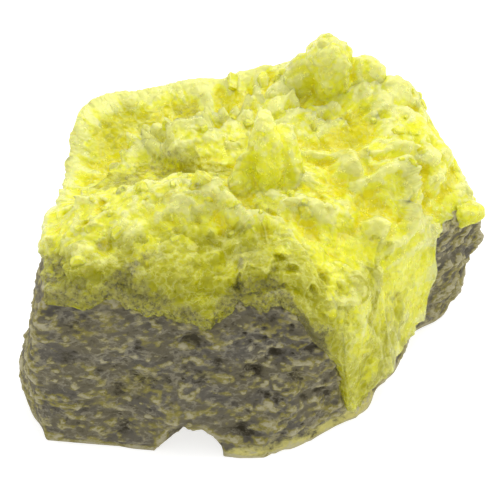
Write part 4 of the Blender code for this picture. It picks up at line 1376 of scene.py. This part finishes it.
def make_floor(settings):
    """A square floor that gives off a little light of its own."""
    nodes = Nodes("floor_white")
    shader = nodes.shader
    shader.inputs["Base Color"].default_value = (*settings.floor, 1.0)
    shader.inputs["Emission Color"].default_value = WHITE
    shader.inputs["Emission Strength"].default_value = settings.glow
    shader.inputs["Roughness"].default_value = 0.9
    corners = [(x * HALF_FLOOR, y * HALF_FLOOR, 0) for x, y in ((-1, -1), (1, -1), (1, 1), (-1, 1))]
    mesh = bpy.data.meshes.new("floor")
    mesh.from_pydata(corners, [], [(0, 1, 2, 3)])
    mesh.materials.append(nodes.material)
    floor = linked("floor", mesh)


def make_sky(scene, strength):
    """White light from all round."""
    world = bpy.data.worlds.new("soft_sky")
    world.use_nodes = True
    background = world.node_tree.nodes["Background"]
    background.inputs["Color"].default_value = WHITE
    background.inputs["Strength"].default_value = strength
    scene.world = world


def make_camera(scene):
    """A long lens that looks down at the specimen from the front."""
    back = Vector((0.0, -math.cos(CAMERA_RISE), math.sin(CAMERA_RISE)))
    lens = bpy.data.cameras.new("camera")
    lens.lens, lens.sensor_width = CAMERA_LENS, CAMERA_SENSOR
    lens.clip_start, lens.clip_end = CAMERA_NEAR, CAMERA_FAR
    camera = linked("camera", lens)
    camera.location = Vector(CAMERA_TARGET) + back * CAMERA_DISTANCE
    camera.rotation_euler = (-back).to_track_quat("-Z", "Y").to_euler()
    scene.camera = camera


class SPECIMEN_OT_stage(bpy.types.Operator):
    """Builds the floor, the soft lights and the camera"""

    bl_idname = "specimen.stage"
    bl_label = "Studio Stage"

    def execute(self, context):
        settings = context.scene.specimen_stage
        make_floor(settings)
        for name, strength, place, side in LIGHTS:
            area_light(name, place, side, getattr(settings, strength))
        make_sky(context.scene, settings.sky)
        make_camera(context.scene)
        context.scene.view_settings.view_transform = "Standard"
        return {"FINISHED"}


class SPECIMEN_PT_panel(bpy.types.Panel):
    """Lists the specimen's operators and settings"""

    bl_label = "Sulfur Specimen"
    bl_idname = "SPECIMEN_PT_panel"
    bl_space_type = "VIEW_3D"
    bl_region_type = "UI"
    bl_category = "Specimen"

    def draw(self, context):
        for operator, settings in STEPS:
            box = self.layout.box()
            group = getattr(context.scene, settings)
            for label in group.bl_rna.properties.keys():
                if label not in ("rna_type", "name"):
                    box.prop(group, label)
            box.operator(operator)


STEPS = (
    ("specimen.rock", "specimen_rock"),
    ("specimen.sulfur", "specimen_sulfur"),
    ("specimen.stage", "specimen_stage"),
)
GROUPS = (
    ("specimen_rock", RockSettings),
    ("specimen_sulfur", SulfurSettings),
    ("specimen_stage", StageSettings),
)
CLASSES = (SPECIMEN_OT_rock, SPECIMEN_OT_sulfur, SPECIMEN_OT_stage, SPECIMEN_PT_panel)


def register():
    """Adds the settings to the scene type, and the operators and the panel."""
    for label, group in GROUPS:
        bpy.utils.register_class(group)
        setattr(bpy.types.Scene, label, PointerProperty(type=group))
    for made in CLASSES:
        bpy.utils.register_class(made)


def unregister():
    """Takes away what register adds, in reverse."""
    for made in reversed(CLASSES):
        bpy.utils.unregister_class(made)
    for label, group in reversed(GROUPS):
        delattr(bpy.types.Scene, label)
        bpy.utils.unregister_class(group)


def main():
    """Builds the pieces and the stage."""
    register()
    bpy.ops.specimen.rock()
    bpy.ops.specimen.sulfur()
    bpy.ops.specimen.stage()


if __name__ == "__main__":
    main()
